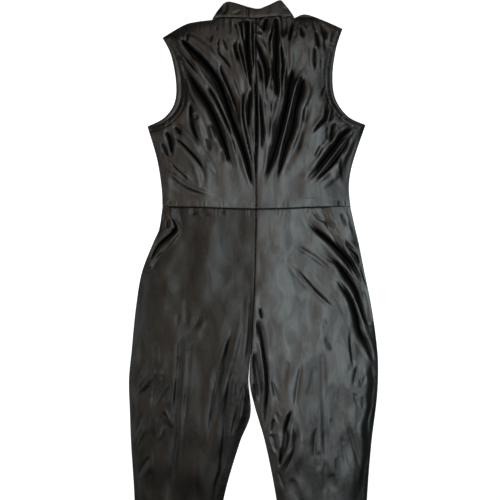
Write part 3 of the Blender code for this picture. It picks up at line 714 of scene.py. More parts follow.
@dataclass
class Relief:
    """The front's height over the back, with every fold in it."""

    folds: Sequence[Fold] = FRONT_FOLDS
    seed: int = 41
    companion_from: float = 45.0     # folds shorter than this stand alone, mm
    bulge: float = 0.15          # cloth pushed up on both sides of a pleat, as a share of its depth
    bulge_reach: float = 4.0     # how far out that goes, in half-widths
    bulge_step: float = 1.0      # where it starts
    pleat_depth: float = 0.95    # what a pleat keeps of its tabled depth and width once pressed flat
    pleat_width: float = 0.92
    soft_fall: float = 0.44      # how fast a soft fold falls away from its line
    rounding: float = 0.34       # how round a pleat's bottom is
    rounding_reach: float = 2.2
    end_fade: float = 3.0        # how soon the painted crease shade fades in from a trough's ends
    least_end: float = 0.05
    shade_from_slope: float = 0.40      # slope from which a trough starts to take painted shade
    shade_slope_step: float = 0.35
    shade_from_depth: float = 0.30    # share of a trough's depth below which its cloth takes painted shade
    shade_depth_step: float = 0.45
    aside: Pair = (4.0, 17.0)    # how far beside a fold its companions run
    companion_height: Pair = (0.45, 1.15)
    companions_on_legs: float = 0.4
    companion_width: Pair = (7.0, 14.0)
    companion_run: float = 0.25      # added to both ends of a companion, in shares of the fold
    companion_gap: float = 0.75      # its distance in widths of the fold, before the draw
    companion_spread: Pair = (0.6, 1.1)
    four_companions_from: float = 110.0
    reach: float = 2.0               # how far a fold acts outside its line's box, in widths
    armhole_margin: float = 2.0      # round the facings, mm
    mouth_margin: float = 4.0
    mouth_step: float = 9.0
    facing_fade: float = 22.0
    roll_inside: float = 0.45        # share of the roll over which folds fade in
    roll_fall: float = 0.75
    settle: float = 0.5              # how softly a trough stops above the back
    edge_drop: float = 0.35

    def section(self, fold: Fold, across: Array) -> Array:
        """Cross-section of a fold: 1 at its line, 0 at its edges, and below 0 where cloth bulges.

        Args:
            fold: The fold.
            across: Distances across it, in half-widths.

        Returns:
            The share of its height at each distance.
        """
        aside = np.abs(across)
        if fold.form is Form.SOFT:
            return np.clip(1.0 - self.soft_fall * aside ** 2, 0.0, 1.0) ** 2
        tent = 0.5 * (1.0 - aside + np.sqrt((1.0 - aside) ** 2 + self.rounding ** 2))
        reach = self.rounding_reach * self.rounding
        tent = tent * smooth((1.0 + reach - aside) / reach)
        if fold.form is Form.CREST:
            return tent
        outside = (aside - self.bulge_step) / (self.bulge_reach - self.bulge_step)
        swell = np.sin(np.pi * np.clip(outside, 0.0, 1.0)) ** 2
        return tent - self.bulge * swell

    def fold(self, fold: Fold, x: Array, y: Array) -> tuple[Array, Array]:
        """Height that one fold adds, and the painted shade in the bottom of its trough.

        Args:
            fold: The fold.
            x: Places' x.
            y: Places' y.

        Returns:
            The heights, and a mask of painted shade that is 1 in the bottom of a deep trough.
        """
        line = trail(fold)
        along, left = line.against(x, y)
        half = 0.5 * line.width(along)
        height = fold.height
        if fold.form is Form.PLEAT:
            half, height = half * self.pleat_width, height * self.pleat_depth
        ends = smooth(along / fold.enter) * smooth((1.0 - along) / fold.leave)
        shape = self.section(fold, left / half) * ends
        # painted shade: steep, deep trough bottoms get a mask that the satin turns black
        steep = np.clip((-height * ends / half - self.shade_from_slope) / self.shade_slope_step, 0.0, 1.0)
        depth = shape / np.maximum(ends, self.least_end)
        closed = steep * smooth((depth - self.shade_from_depth) / self.shade_depth_step)
        return height * shape, closed * smooth(ends * self.end_fade)

    @staticmethod
    def ripples(x: Array, y: Array) -> Array:
        """Low waves that run across the whole cloth.

        Args:
            x: Places' x.
            y: Places' y.

        Returns:
            The heights.
        """
        total = np.zeros(x.shape)
        for ripple in RIPPLES:
            heading = math.radians(ripple.heading)
            across = x * math.sin(heading) - y * math.cos(heading)
            drift = DRIFT * np.sin(across / (DRIFT_WAVES * ripple.wave) + ripple.start)
            run = x * math.cos(heading) + y * math.sin(heading) + drift
            total += ripple.height * np.sin(2 * math.pi * run / ripple.wave + ripple.start)
        return total

    def companions(self) -> list[Fold]:
        """Small soft folds that run beside the long ones, uneven in place, length and height.

        Returns:
            The folds that it made.
        """
        chance = np.random.default_rng(self.seed)
        found = []
        for fold in self.folds:
            line = trail(fold)
            if line.length < self.companion_from or fold.height > 0 or fold.form is SOFT:
                continue
            for way in (-1.0, 1.0) * (1 if line.length < self.four_companions_from else 2):
                first, last = sorted(chance.uniform(0.0, 1.0, 2))
                first, last = max(0.0, first - self.companion_run), min(1.0, last + self.companion_run)
                share = np.linspace(first, last, 3)
                gap = self.companion_gap * float(line.width(share).mean())
                aside = way * (gap + chance.uniform(*self.aside))
                spread = aside * np.array([1.0, 1.0, chance.uniform(*self.companion_spread)])
                places = line.at(share) + line.inward(share, Side.RIGHT) * spread[:, None]
                width = chance.uniform(*self.companion_width)
                height = chance.choice((-1.0, 1.0)) * chance.uniform(*self.companion_height)
                height *= 1.0 if places[1][1] > 0 else self.companions_on_legs
                found.append(Fold(height, tuple((*place, width) for place in places.tolist()), form=SOFT))
        return found

    EDGE_STEP = 16.0        # between the points of an edge, mm

    @cached_property
    def silhouette(self) -> list[Array]:
        """The edges at which the front comes down to the back.

        Returns:
            Rows of points, one for each edge.
        """
        lines = []
        for side in Side:
            lines.append(curve(SHOULDER[side]).points[::3])
            lines.append(armhole_line(side, ARMHOLE_STEP[side]))
            lines.append(curve(SIDE_SEAM[side]).points[::6])
            outer = np.arange(0.0, HEM_Y - 1, -self.EDGE_STEP)
            lines.append(np.stack([outseam_x(side, outer), outer], axis=-1))
            inner = np.arange(CROTCH_Y - INSEAM_DROP, HEM_Y - 1, -self.EDGE_STEP)
            lines.append(np.stack([inner_x(side, inner), inner], axis=-1))
        return lines

    def edge_distance(self, x: Array, y: Array) -> Array:
        """Distance to the nearest edge of the silhouette."""
        return np.min([nearest(line, x, y)[0] for line in self.silhouette], axis=0)

    def facing_rise(self, side: Side, x: Array, y: Array) -> Array:
        """Extra height over the armhole and pocket facings of a side.

        Args:
            side: The wearer's side.
            x: Places' x.
            y: Places' y.

        Returns:
            The extra heights.
        """
        armhole = nearest(curve(ARMHOLE[side]).points[::6], x, y)[0] - ARMHOLE_FACING - self.armhole_margin
        heights = np.arange(0.0, MOUTH[side][-1][1] - 1, -self.mouth_step)
        middle = np.stack([mouth_x(side, heights) - side.value * FACING_TUCK / 2, heights], axis=-1)
        mouth = nearest(middle, x, y)[0] - FACING_TUCK / 2 - self.mouth_margin
        return FACING_STEP * (1.0 - smooth(np.minimum(armhole, mouth) / self.facing_fade))

    @cached_property
    def all_folds(self) -> list[Fold]:
        """The folds of the tables and their companions."""
        return [*self.folds, *self.companions()]

    def under(self, side: Side, x: Array, y: Array) -> tuple[Array, Array]:
        """Underside of the front.

        Args:
            side: The wearer's side.
            x: Places' x.
            y: Places' y.

        Returns:
            The heights, and the mask of painted crease shade.
        """
        away = self.edge_distance(x, y)
        heights, lofts = np.array(LOFTS[::-1], float).T
        stand = np.interp(y, heights, lofts)
        total, closed = np.zeros(x.shape), np.zeros(x.shape)
        for fold in self.all_folds:
            near = trail(fold).near(x, y, max(place[2] for place in fold.places) * self.reach)
            if near.any():
                added, mask = self.fold(fold, x[near], y[near])
                total[near] += added
                closed[near] = np.maximum(closed[near], mask)
        inside = smooth(away / (self.roll_inside * ROLL))
        edge = np.clip(away / ROLL, 0.0, 1.0)
        rolled = (1.0 - (1.0 - edge) ** 2) ** self.roll_fall
        raw = stand * rolled + (total + self.ripples(x, y)) * inside - LEAST
        held = 0.5 * (raw + np.sqrt(raw ** 2 + self.settle))
        height = LEAST * rolled + held - self.edge_drop * (1 - rolled)
        return FRONT_Z + self.facing_rise(side, x, y) + height, closed * inside


RELIEF = Relief()


# ---------------------------------------------------------------- seams and puckers

@dataclass(frozen=True)
class Pucker:
    """Small uneven ripples that a line of sewing gathers up."""

    start: float        # from the sewing, mm
    end: float
    height: float
    wave: float         # mean wavelength, mm
    phase: float = 0.0

    START_FADE = 3.0
    END_FADE = 9.0

    def at(self, away: Array, along: Array) -> Array:
        """Height of the ripples.

        Args:
            away: Distance from the sewing.
            along: Length along it.

        Returns:
            The heights.
        """
        turn = 2 * math.pi * along / self.wave + self.phase
        slow = np.sin(turn + 1.7 * np.sin(0.31 * turn))
        quick = np.sin(1.73 * turn + 2.0 + 1.1 * np.sin(0.43 * turn))
        strength = 0.55 + 0.45 * np.sin(0.23 * turn + 1.3 * self.phase)
        fades = smooth((away - self.start) / self.START_FADE) * smooth((self.end - away) / self.END_FADE)
        return self.height * (slow + 0.7 * quick) * strength * fades


@dataclass(frozen=True)
class Groove:
    """A narrow groove along a line of sewing, mm."""

    depth: float
    width: float

    def at(self, away: Array) -> Array:
        """Height at a distance from the line."""
        return -self.depth * np.exp(-(away / self.width) ** 2)


@dataclass
class Sewing:
    """What the seams, hems and edges add to the front's height."""

    waist: Pucker = Pucker(0.5, 17.0, 0.30, 13.0, 0.6)
    neck: Pucker = Pucker(1.0, 26.0, 0.42, 12.0, 2.2)
    armhole: Pucker = Pucker(2.5, 17.0, 0.42, 10.5, 1.0)
    mouth: Pucker = Pucker(1.0, 14.0, 0.16, 12.0, 0.3)
    hem: Pucker = Pucker(1.0, 30.0, 0.16, 15.0, 1.9)
    bodice_centre: Groove = Groove(0.7, 1.5)
    leg_centre: Groove = Groove(0.8, 1.5)
    waist_seam: Groove = Groove(1.0, 1.8)
    neck_seam: Groove = Groove(0.8, 2.0)
    armhole_sewing: Groove = Groove(0.45, 1.5)
    mouth_sewing: Groove = Groove(0.5, 1.6)
    hem_sewing: Groove = Groove(0.45, 1.6)
    armhole_hem: float = 10.0
    hem_depth: float = 25.0
    lip_top: float = 18.0
    lip_bottom: float = 8.0
    lip_flare: float = 0.30
    lip_fade: float = 8.0
    seam_shade_width: float = 1.3           # half-width of the painted shade along a seam
    crotch_gap: float = 6.0     # the painted seam shade stops this far above the crotch
    low_armhole: Pair = (230.0, 60.0)       # below this height, over this run, it puckers more

    def lip_width(self, side: Side, y: Array) -> Array:
        """Width of the pocket's sewn edge at heights y."""
        share = np.clip(y / MOUTH[side][-1][1], 0.0, 1.0)
        return self.lip_top + (self.lip_bottom - self.lip_top) * share

    def lip(self, side: Side, x: Array, y: Array) -> Array:
        """The pocket's edge, which flares up beyond its line of stitches.

        Args:
            side: The wearer's side.
            x: Places' x.
            y: Places' y.

        Returns:
            The heights that it adds.
        """
        heights = np.linspace(0.0, MOUTH[side][-1][1], 40)
        line = np.stack([mouth_x(side, heights), heights], axis=-1)
        away, along = nearest(line, x, y)
        wide = self.lip_width(side, y)
        ends = smooth((y - MOUTH[side][-1][1]) / self.lip_fade)
        flare = self.lip_flare * np.clip(wide - away, 0.0, None)
        return ends * (flare + self.mouth_sewing.at(away - wide)) + self.mouth.at(away, along)

    def seam_shade(self, side: Side, x: Array, y: Array, on_bodice: bool) -> Array:
        """Mask of painted shade along the seam lines.

        Args:
            side: The wearer's side.
            x: Places' x.
            y: Places' y.
            on_bodice: Whether the panel is the bodice and not the leg.

        Returns:
            1 on a seam and 0 away from it.
        """
        above = y > CROTCH_Y - self.crotch_gap
        centre = np.abs(x) if on_bodice else np.where(above, np.abs(x - inner_x(side, y)), np.inf)
        seam = np.minimum(centre, np.abs(y - waist_y(x)))
        seam = np.minimum(seam, neck_y(x) - y) if on_bodice else seam
        return np.exp(-(seam / self.seam_shade_width) ** 2)

    def on_bodice(self, side: Side, x: Array, y: Array) -> Array:
        """Height that sewing adds to a front bodice half.

        Args:
            side: The wearer's side.
            x: Places' x.
            y: Places' y.

        Returns:
            The heights.
        """
        hem, along = nearest(armhole_line(side, ARMHOLE_STEP[side]), x, y)
        low = 0.6 + 0.8 * smooth((self.low_armhole[0] - y) / self.low_armhole[1])
        above, below = y - waist_y(x), neck_y(x) - y
        seams = self.bodice_centre.at(np.abs(x)) + self.waist_seam.at(above) + self.neck_seam.at(below)
        puckers = self.waist.at(above, x + 400.0) + self.neck.at(below, x + 300.0)
        return (seams + puckers + self.armhole.at(hem, along) * low
                + self.armhole_sewing.at(hem - self.armhole_hem))

    def on_leg(self, side: Side, x: Array, y: Array) -> Array:
        """Height that sewing adds to a front leg.

        Args:
            side: The wearer's side.
            x: Places' x.
            y: Places' y.

        Returns:
            The heights.
        """
        seam = np.abs(x - inner_x(side, y))
        centre = smooth((y - CROTCH_Y) / 4.0 + 1.0)
        hem = y - HEM_Y
        below = waist_y(x) - y
        return (self.leg_centre.at(seam) * centre + self.waist_seam.at(below)
                + self.waist.at(below, x + 411.0) + self.lip(side, x, y)
                + self.hem.at(hem, x + 300.0) + self.hem_sewing.at(hem - self.hem_depth))


SEWING = Sewing()


def front_top(side: Side, x: Array, y: Array, on_bodice: bool) -> tuple[Array, Array]:
    """Upper surface of the front.

    Args:
        side: The wearer's side.
        x: Places' x.
        y: Places' y.
        on_bodice: Whether the panel is the bodice and not the leg.

    Returns:
        The heights, and the mask of painted shade in creases and along seams.
    """
    under, closed = RELIEF.under(side, x, y)
    if not on_bodice:
        # the pocket mouth's hollow, with painted shade in its bottom
        hollow, dark = RELIEF.fold(POCKET_FOLDS[side][0], x, y)
        under, closed = under + hollow, np.maximum(closed, dark)
    sewn = SEWING.on_bodice(side, x, y) if on_bodice else SEWING.on_leg(side, x, y)
    # painted shade along the seam lines joins the crease shade
    closed = np.maximum(closed, SEWING.seam_shade(side, x, y, on_bodice))
    return np.maximum(under + sewn, FRONT_Z) + CLOTH, closed


# ---------------------------------------------------------------- finishes

class NodeKit:
    """Short ways to add and join nodes in one node tree."""

    def __init__(self, tree: bpy.types.NodeTree) -> None:
        """Work on a tree."""
        self.tree = tree

    def add(self, kind: str, **values: object) -> bpy.types.Node:
        """Add a node.

        Args:
            kind: The node's type name.
            values: Its properties, and the values of its inputs by name with _ for a space.

        Returns:
            The node.
        """
        node = self.tree.nodes.new(kind)
        for key, value in values.items():
            if hasattr(node, key):
                setattr(node, key, value)
            else:
                node.inputs[key.replace("_", " ")].default_value = value
        return node

    def join(self, source: bpy.types.NodeSocket, target: bpy.types.NodeSocket) -> None:
        """Link an output to an input."""
        self.tree.links.new(source, target)

    def maths(self, operation: str, one: object, two: object, clamp: bool = False) -> bpy.types.NodeSocket:
        """Join two values, each a socket or a number.

        Args:
            operation: The Math node's operation.
            one: First value.
            two: Second value.
            clamp: Whether the result is held between 0 and 1.

        Returns:
            The result's socket.
        """
        node = self.add("ShaderNodeMath", operation=operation, use_clamp=clamp)
        for index, value in enumerate((one, two)):
            if isinstance(value, (int, float)):
                node.inputs[index].default_value = value
            else:
                self.join(value, node.inputs[index])
        return node.outputs[0]


def new_group(name: str, inputs: dict[str, float],
              outputs: Sequence[str]) -> tuple[bpy.types.NodeTree, NodeKit]:
    """Start a shader node group.

    Args:
        name: The group's name.
        inputs: Names and values of its number inputs.
        outputs: Names of its number outputs.

    Returns:
        The group and a kit that works on it.
    """
    group = bpy.data.node_groups.new(name, "ShaderNodeTree")
    for label, value in inputs.items():
        socket = group.interface.new_socket(label, in_out="INPUT", socket_type="NodeSocketFloat")
        socket.default_value = value
    for label in outputs:
        group.interface.new_socket(label, in_out="OUTPUT", socket_type="NodeSocketFloat")
    return group, NodeKit(group)


@lru_cache(maxsize=None)
def weave_group() -> bpy.types.NodeTree:
    """Satin weave: long floats of yarn in staggered rows, with the yarns' uneven thickness.

    Returns:
        The node group.
    """
    inputs = {"Threads per metre": 2600.0, "Unevenness": 0.5}
    group, kit = new_group("satin_weave", inputs, ("Height", "Gloss"))
    given, out = kit.add("NodeGroupInput"), kit.add("NodeGroupOutput")
    place = kit.add("ShaderNodeTexCoord")
    scaled = kit.add("ShaderNodeVectorMath", operation="SCALE")
    kit.join(place.outputs["Object"], scaled.inputs[0])
    kit.join(given.outputs["Threads per metre"], scaled.inputs["Scale"])
    floats = kit.add("ShaderNodeTexBrick", offset=0.4, offset_frequency=2, Scale=1.0, Mortar_Size=0.12,
                     Mortar_Smooth=1.0, Brick_Width=5.0, Row_Height=1.0)
    kit.join(scaled.outputs[0], floats.inputs["Vector"])
    slub = kit.add("ShaderNodeTexNoise", Scale=220.0, Detail=3.0, Roughness=0.6)
    stretch = kit.add("ShaderNodeMapping")
    stretch.inputs["Scale"].default_value = (0.35, 3.0, 1.0)
    kit.join(place.outputs["Object"], stretch.inputs["Vector"])
    kit.join(stretch.outputs[0], slub.inputs["Vector"])
    raised = kit.maths("SUBTRACT", 1.0, floats.outputs["Fac"])
    uneven = kit.maths("MULTIPLY", slub.outputs["Fac"], given.outputs["Unevenness"])
    kit.join(kit.maths("ADD", raised, uneven), out.inputs["Height"])
    # Gloss: painted sheen, high on the raised floats and more so where the yarn is thicker; it lightens the
    # base colour
    kit.join(kit.maths("MULTIPLY", raised, kit.maths("ADD", 0.75, uneven)), out.inputs["Gloss"])
    return group


@lru_cache(maxsize=None)
def handling_group() -> bpy.types.NodeTree:
    """Marks of handling: soft crushed patches, fine short wrinkles, and streaks of brushed-up nap.

    Returns:
        The node group.
    """
    group, kit = new_group("handling", {"Crush": 0.5, "Wrinkle": 0.5}, ("Height", "Dull", "Nap"))
    given, out = kit.add("NodeGroupInput"), kit.add("NodeGroupOutput")
    place = kit.add("ShaderNodeTexCoord")
    broad = kit.add("ShaderNodeTexNoise", Scale=14.0, Detail=4.0, Roughness=0.55, Distortion=0.6)
    fine = kit.add("ShaderNodeTexNoise", Scale=62.0, Detail=5.0, Roughness=0.6, Distortion=1.4)
    for node in (broad, fine):
        kit.join(place.outputs["Object"], node.inputs["Vector"])
    crush = kit.maths("MULTIPLY", broad.outputs["Fac"], given.outputs["Crush"])
    wrinkle = kit.maths("MULTIPLY", fine.outputs["Fac"], given.outputs["Wrinkle"])
    kit.join(kit.maths("ADD", crush, wrinkle), out.inputs["Height"])
    kit.join(kit.maths("MULTIPLY", broad.outputs["Fac"], fine.outputs["Fac"]), out.inputs["Dull"])
    drawn = kit.add("ShaderNodeMapping")
    drawn.inputs["Rotation"].default_value = (0.0, 0.0, 0.35)
    drawn.inputs["Scale"].default_value = (1.7, 0.6, 1.0)
    streaks = kit.add("ShaderNodeTexNoise", Scale=24.0, Detail=3.0, Roughness=0.55, Distortion=1.1)
    kit.join(place.outputs["Object"], drawn.inputs["Vector"])
    kit.join(drawn.outputs[0], streaks.inputs["Vector"])
    nap = kit.maths("MULTIPLY", kit.maths("SUBTRACT", streaks.outputs["Fac"], 0.38), 3.4, clamp=True)
    kit.join(nap, out.inputs["Nap"])
    return group


WARM = (1.0, 0.88, 0.78)        # tints of the gloss; WARM gives the darker copies of the satin a painted brown sheen
MILD = (1.0, 0.9, 0.83)


@dataclass(frozen=True)
class Satin:
    """Black satin: a smooth, glossy face of warp floats, with painted shade in creases and along seams, where
    a mask turns it black.
    """

    name: str
    colour: Colour = (0.0007, 0.0006, 0.0006)
    # base colour of the raised floats, a painted sheen
    painted_sheen: Colour = (0.0014, 0.0013, 0.0013)
    roughness: float = 0.36
    dullness: float = 0.09
    gloss: float = 0.55          # specular level
    tint: Colour = MILD
    coat: float = 0.6            # how much cooler and brighter the streaks of nap are
    coat_roughness: float = 0.34
    sheen: float = 0.04
    weave_depth: float = 0.00002
    crush_depth: float = 0.0009

    def material(self) -> bpy.types.Material:
        """Build the material.

        Returns:
            The material.
        """
        made = bpy.data.materials.new(self.name)
        made.use_nodes = True
        kit = NodeKit(made.node_tree)
        shader = made.node_tree.nodes["Principled BSDF"]
        shader.inputs["Specular IOR Level"].default_value = self.gloss
        shader.inputs["Specular Tint"].default_value = (*self.tint, 1.0)
        shader.inputs["Sheen Weight"].default_value = self.sheen
        shader.inputs["Sheen Roughness"].default_value = 0.4
        shader.inputs["Coat Roughness"].default_value = self.coat_roughness
        weave = kit.add("ShaderNodeGroup", node_tree=weave_group())
        handling = kit.add("ShaderNodeGroup", node_tree=handling_group())
        # painted shade: the crease mask makes the satin metallic over its near-black colour and rougher, so
        # creases and seams go black, and it thins the coat there
        painted_shade = kit.add("ShaderNodeAttribute", attribute_name="crease", attribute_type="GEOMETRY")
        # painted sheen: the raised floats take the lighter base colour
        tone = kit.add("ShaderNodeMix", data_type="RGBA")
        tone.inputs["A"].default_value = (*self.colour, 1.0)
        tone.inputs["B"].default_value = (*self.painted_sheen, 1.0)
        kit.join(weave.outputs["Gloss"], tone.inputs["Factor"])
        kit.join(tone.outputs["Result"], shader.inputs["Base Color"])
        dull = kit.maths("MULTIPLY", handling.outputs["Dull"], self.dullness * 4.0)
        rough = kit.maths("ADD", dull, self.roughness - self.dullness)
        kit.join(kit.maths("ADD", rough, kit.maths("MULTIPLY", painted_shade.outputs["Fac"], 0.4), clamp=True),
                 shader.inputs["Roughness"])
        kit.join(painted_shade.outputs["Fac"], shader.inputs["Metallic"])
        unshaded = kit.maths("SUBTRACT", 1.0, painted_shade.outputs["Fac"], clamp=True)
        nap = kit.maths("MULTIPLY", handling.outputs["Nap"], self.coat)
        kit.join(kit.maths("MULTIPLY", nap, unshaded, clamp=True), shader.inputs["Coat Weight"])
        crushed = kit.add("ShaderNodeBump", Strength=1.0, Distance=self.crush_depth)
        kit.join(handling.outputs["Height"], crushed.inputs["Height"])
        fine = kit.add("ShaderNodeBump", Strength=1.0, Distance=self.weave_depth)
        kit.join(weave.outputs["Height"], fine.inputs["Height"])
        kit.join(crushed.outputs["Normal"], fine.inputs["Normal"])
        kit.join(fine.outputs["Normal"], shader.inputs["Normal"])
        return made


TURNS_AT_SCALE_1 = 3.2      # of a wave texture, for each metre


@dataclass(frozen=True)
class Thread:
    """Twisted black sewing thread."""

    name: str
    colour: Colour = (0.006, 0.006, 0.0065)
    roughness: float = 0.45
    twist: float = 900.0         # turns of the pattern for each metre

    def material(self) -> bpy.types.Material:
        """Build the material.

        Returns:
            The material.
        """
        made = bpy.data.materials.new(self.name)
        made.use_nodes = True
        kit = NodeKit(made.node_tree)
        shader = made.node_tree.nodes["Principled BSDF"]
        place = kit.add("ShaderNodeTexCoord")
        plies = kit.add("ShaderNodeTexWave", bands_direction="DIAGONAL", Scale=self.twist / TURNS_AT_SCALE_1,
                        Distortion=1.0)
        kit.join(place.outputs["Object"], plies.inputs["Vector"])
        tone = kit.add("ShaderNodeMix", data_type="RGBA")
        tone.inputs["A"].default_value = tuple(0.5 * part for part in self.colour) + (1.0,)
        tone.inputs["B"].default_value = (*self.colour, 1.0)
        kit.join(plies.outputs["Fac"], tone.inputs["Factor"])
        kit.join(tone.outputs["Result"], shader.inputs["Base Color"])
        kit.join(kit.maths("ADD", kit.maths("MULTIPLY", plies.outputs["Fac"], 0.1), self.roughness),
                 shader.inputs["Roughness"])
        bump = kit.add("ShaderNodeBump", Strength=0.6, Distance=0.0001)
        kit.join(plies.outputs["Fac"], bump.inputs["Height"])
        kit.join(bump.outputs["Normal"], shader.inputs["Normal"])
        return made


@dataclass(frozen=True)
class PaleFloor:
    """Matt white floor, bright enough to lose the shadows."""

    name: str = "pale_floor"
    colour: Colour = (0.92, 0.92, 0.92)
    glow: float = 0.7

    def material(self) -> bpy.types.Material:
        """Build the material.

        Returns:
            The material.
        """
        made = bpy.data.materials.new(self.name)
        made.use_nodes = True
        shader = made.node_tree.nodes["Principled BSDF"]
        shader.inputs["Base Color"].default_value = (*self.colour, 1.0)
        shader.inputs["Roughness"].default_value = 0.9
        shader.inputs["Specular IOR Level"].default_value = 0.1
        shader.inputs["Emission Color"].default_value = (1.0, 1.0, 1.0, 1.0)
        shader.inputs["Emission Strength"].default_value = self.glow
        return made


# ---------------------------------------------------------------- building pieces

@dataclass(frozen=True)
class Layout:
    """Turns the tables' millimetres into metres in the frame."""

    x: float
    y: float

    @classmethod
    def from_frame(cls) -> Layout:
        """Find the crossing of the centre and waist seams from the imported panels."""
        half = HALF_SEAM * MM
        return cls(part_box("front_bodice_left")[0].x - half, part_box("front_leg_left")[1].y + half)

    def place(self, x: float, y: float, z: float) -> Vector:
        """A place in the frame, in metres."""
        return Vector((self.x + x * MM, self.y + y * MM, z * MM))


def piece(name: str, solid: bmesh.types.BMesh, material: bpy.types.Material,
          nodes: Sequence[str] = (), sharp: float = 55.0) -> bpy.types.Object:
    """Turn a bmesh into a finished piece that rides on the garment.

    Args:
        name: The piece's name.
        solid: Its mesh, which is freed.
        material: Its finish.
        nodes: CAD nodes that it stands for.
        sharp: Edges that turn by more degrees than this are shaded as sharp.

    Returns:
        The object.
    """
    mesh = bpy.data.meshes.new(name)
    solid.to_mesh(mesh)
    solid.free()
    mesh.shade_smooth()
    mesh.set_sharp_from_angle(angle=math.radians(sharp))
    made = bpy.data.objects.new(name, mesh)
    bpy.context.scene.collection.objects.link(made)
    mesh.materials.append(material)
    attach(made, "root")
    if nodes:
        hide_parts(*nodes)
    LOG.info("%s: %d faces", name, len(mesh.polygons))
    return made


@dataclass
class Panel:
    """A cut piece of cloth, as a thin closed wall on a grid."""

    node: str
    columns: int
    rows: int
    plan: Plan
    top: Top
    wall: float = CLOTH

    def build(self, layout: Layout, material: bpy.types.Material, slot: str) -> bpy.types.Object:
        """Make the piece.

        Args:
            layout: Where the garment lies in the frame.
            material: Its finish.
            slot: Not used.

        Returns:
            The object.
        """
        solid = bmesh.new()
        bmesh.ops.create_grid(solid, x_segments=self.columns, y_segments=self.rows, size=0.5)
        # the crease layer carries the mask of painted shade in creases and along seams, which the satin turns
        # black
        creases = solid.verts.layers.float.new("crease")
        across = np.array([vert.co.x + 0.5 for vert in solid.verts])
        up = np.array([vert.co.y + 0.5 for vert in solid.verts])
        flat = self.plan(across, up)
        height, closed = self.top(flat[:, 0], flat[:, 1])
        for vert, (x, y), z, mask in zip(solid.verts, flat, height, closed):
            vert.co = layout.place(x, y, z)
            vert[creases] = mask
        lower = bmesh.ops.extrude_face_region(solid, geom=solid.faces[:])["geom"]
        moved = [item for item in lower if isinstance(item, bmesh.types.BMVert)]
        bmesh.ops.translate(solid, verts=moved, vec=(0.0, 0.0, -self.wall * MM))
        bmesh.ops.recalc_face_normals(solid, faces=solid.faces[:])
        return piece(f"satin_{self.node}", solid, material, (self.node,))


def flat_top(z: float) -> Top:
    """A level upper surface for a panel that lies flat, with its underside at z.

    Args:
        z: Height of its underside.

    Returns:
        The surface, as a function of x and y.
    """
    def top(x: Array, y: Array) -> tuple[Array, Array]:
        """Heights and creases of the level surface."""
        return np.full(x.shape, z + CLOTH), np.zeros(x.shape)

    return top


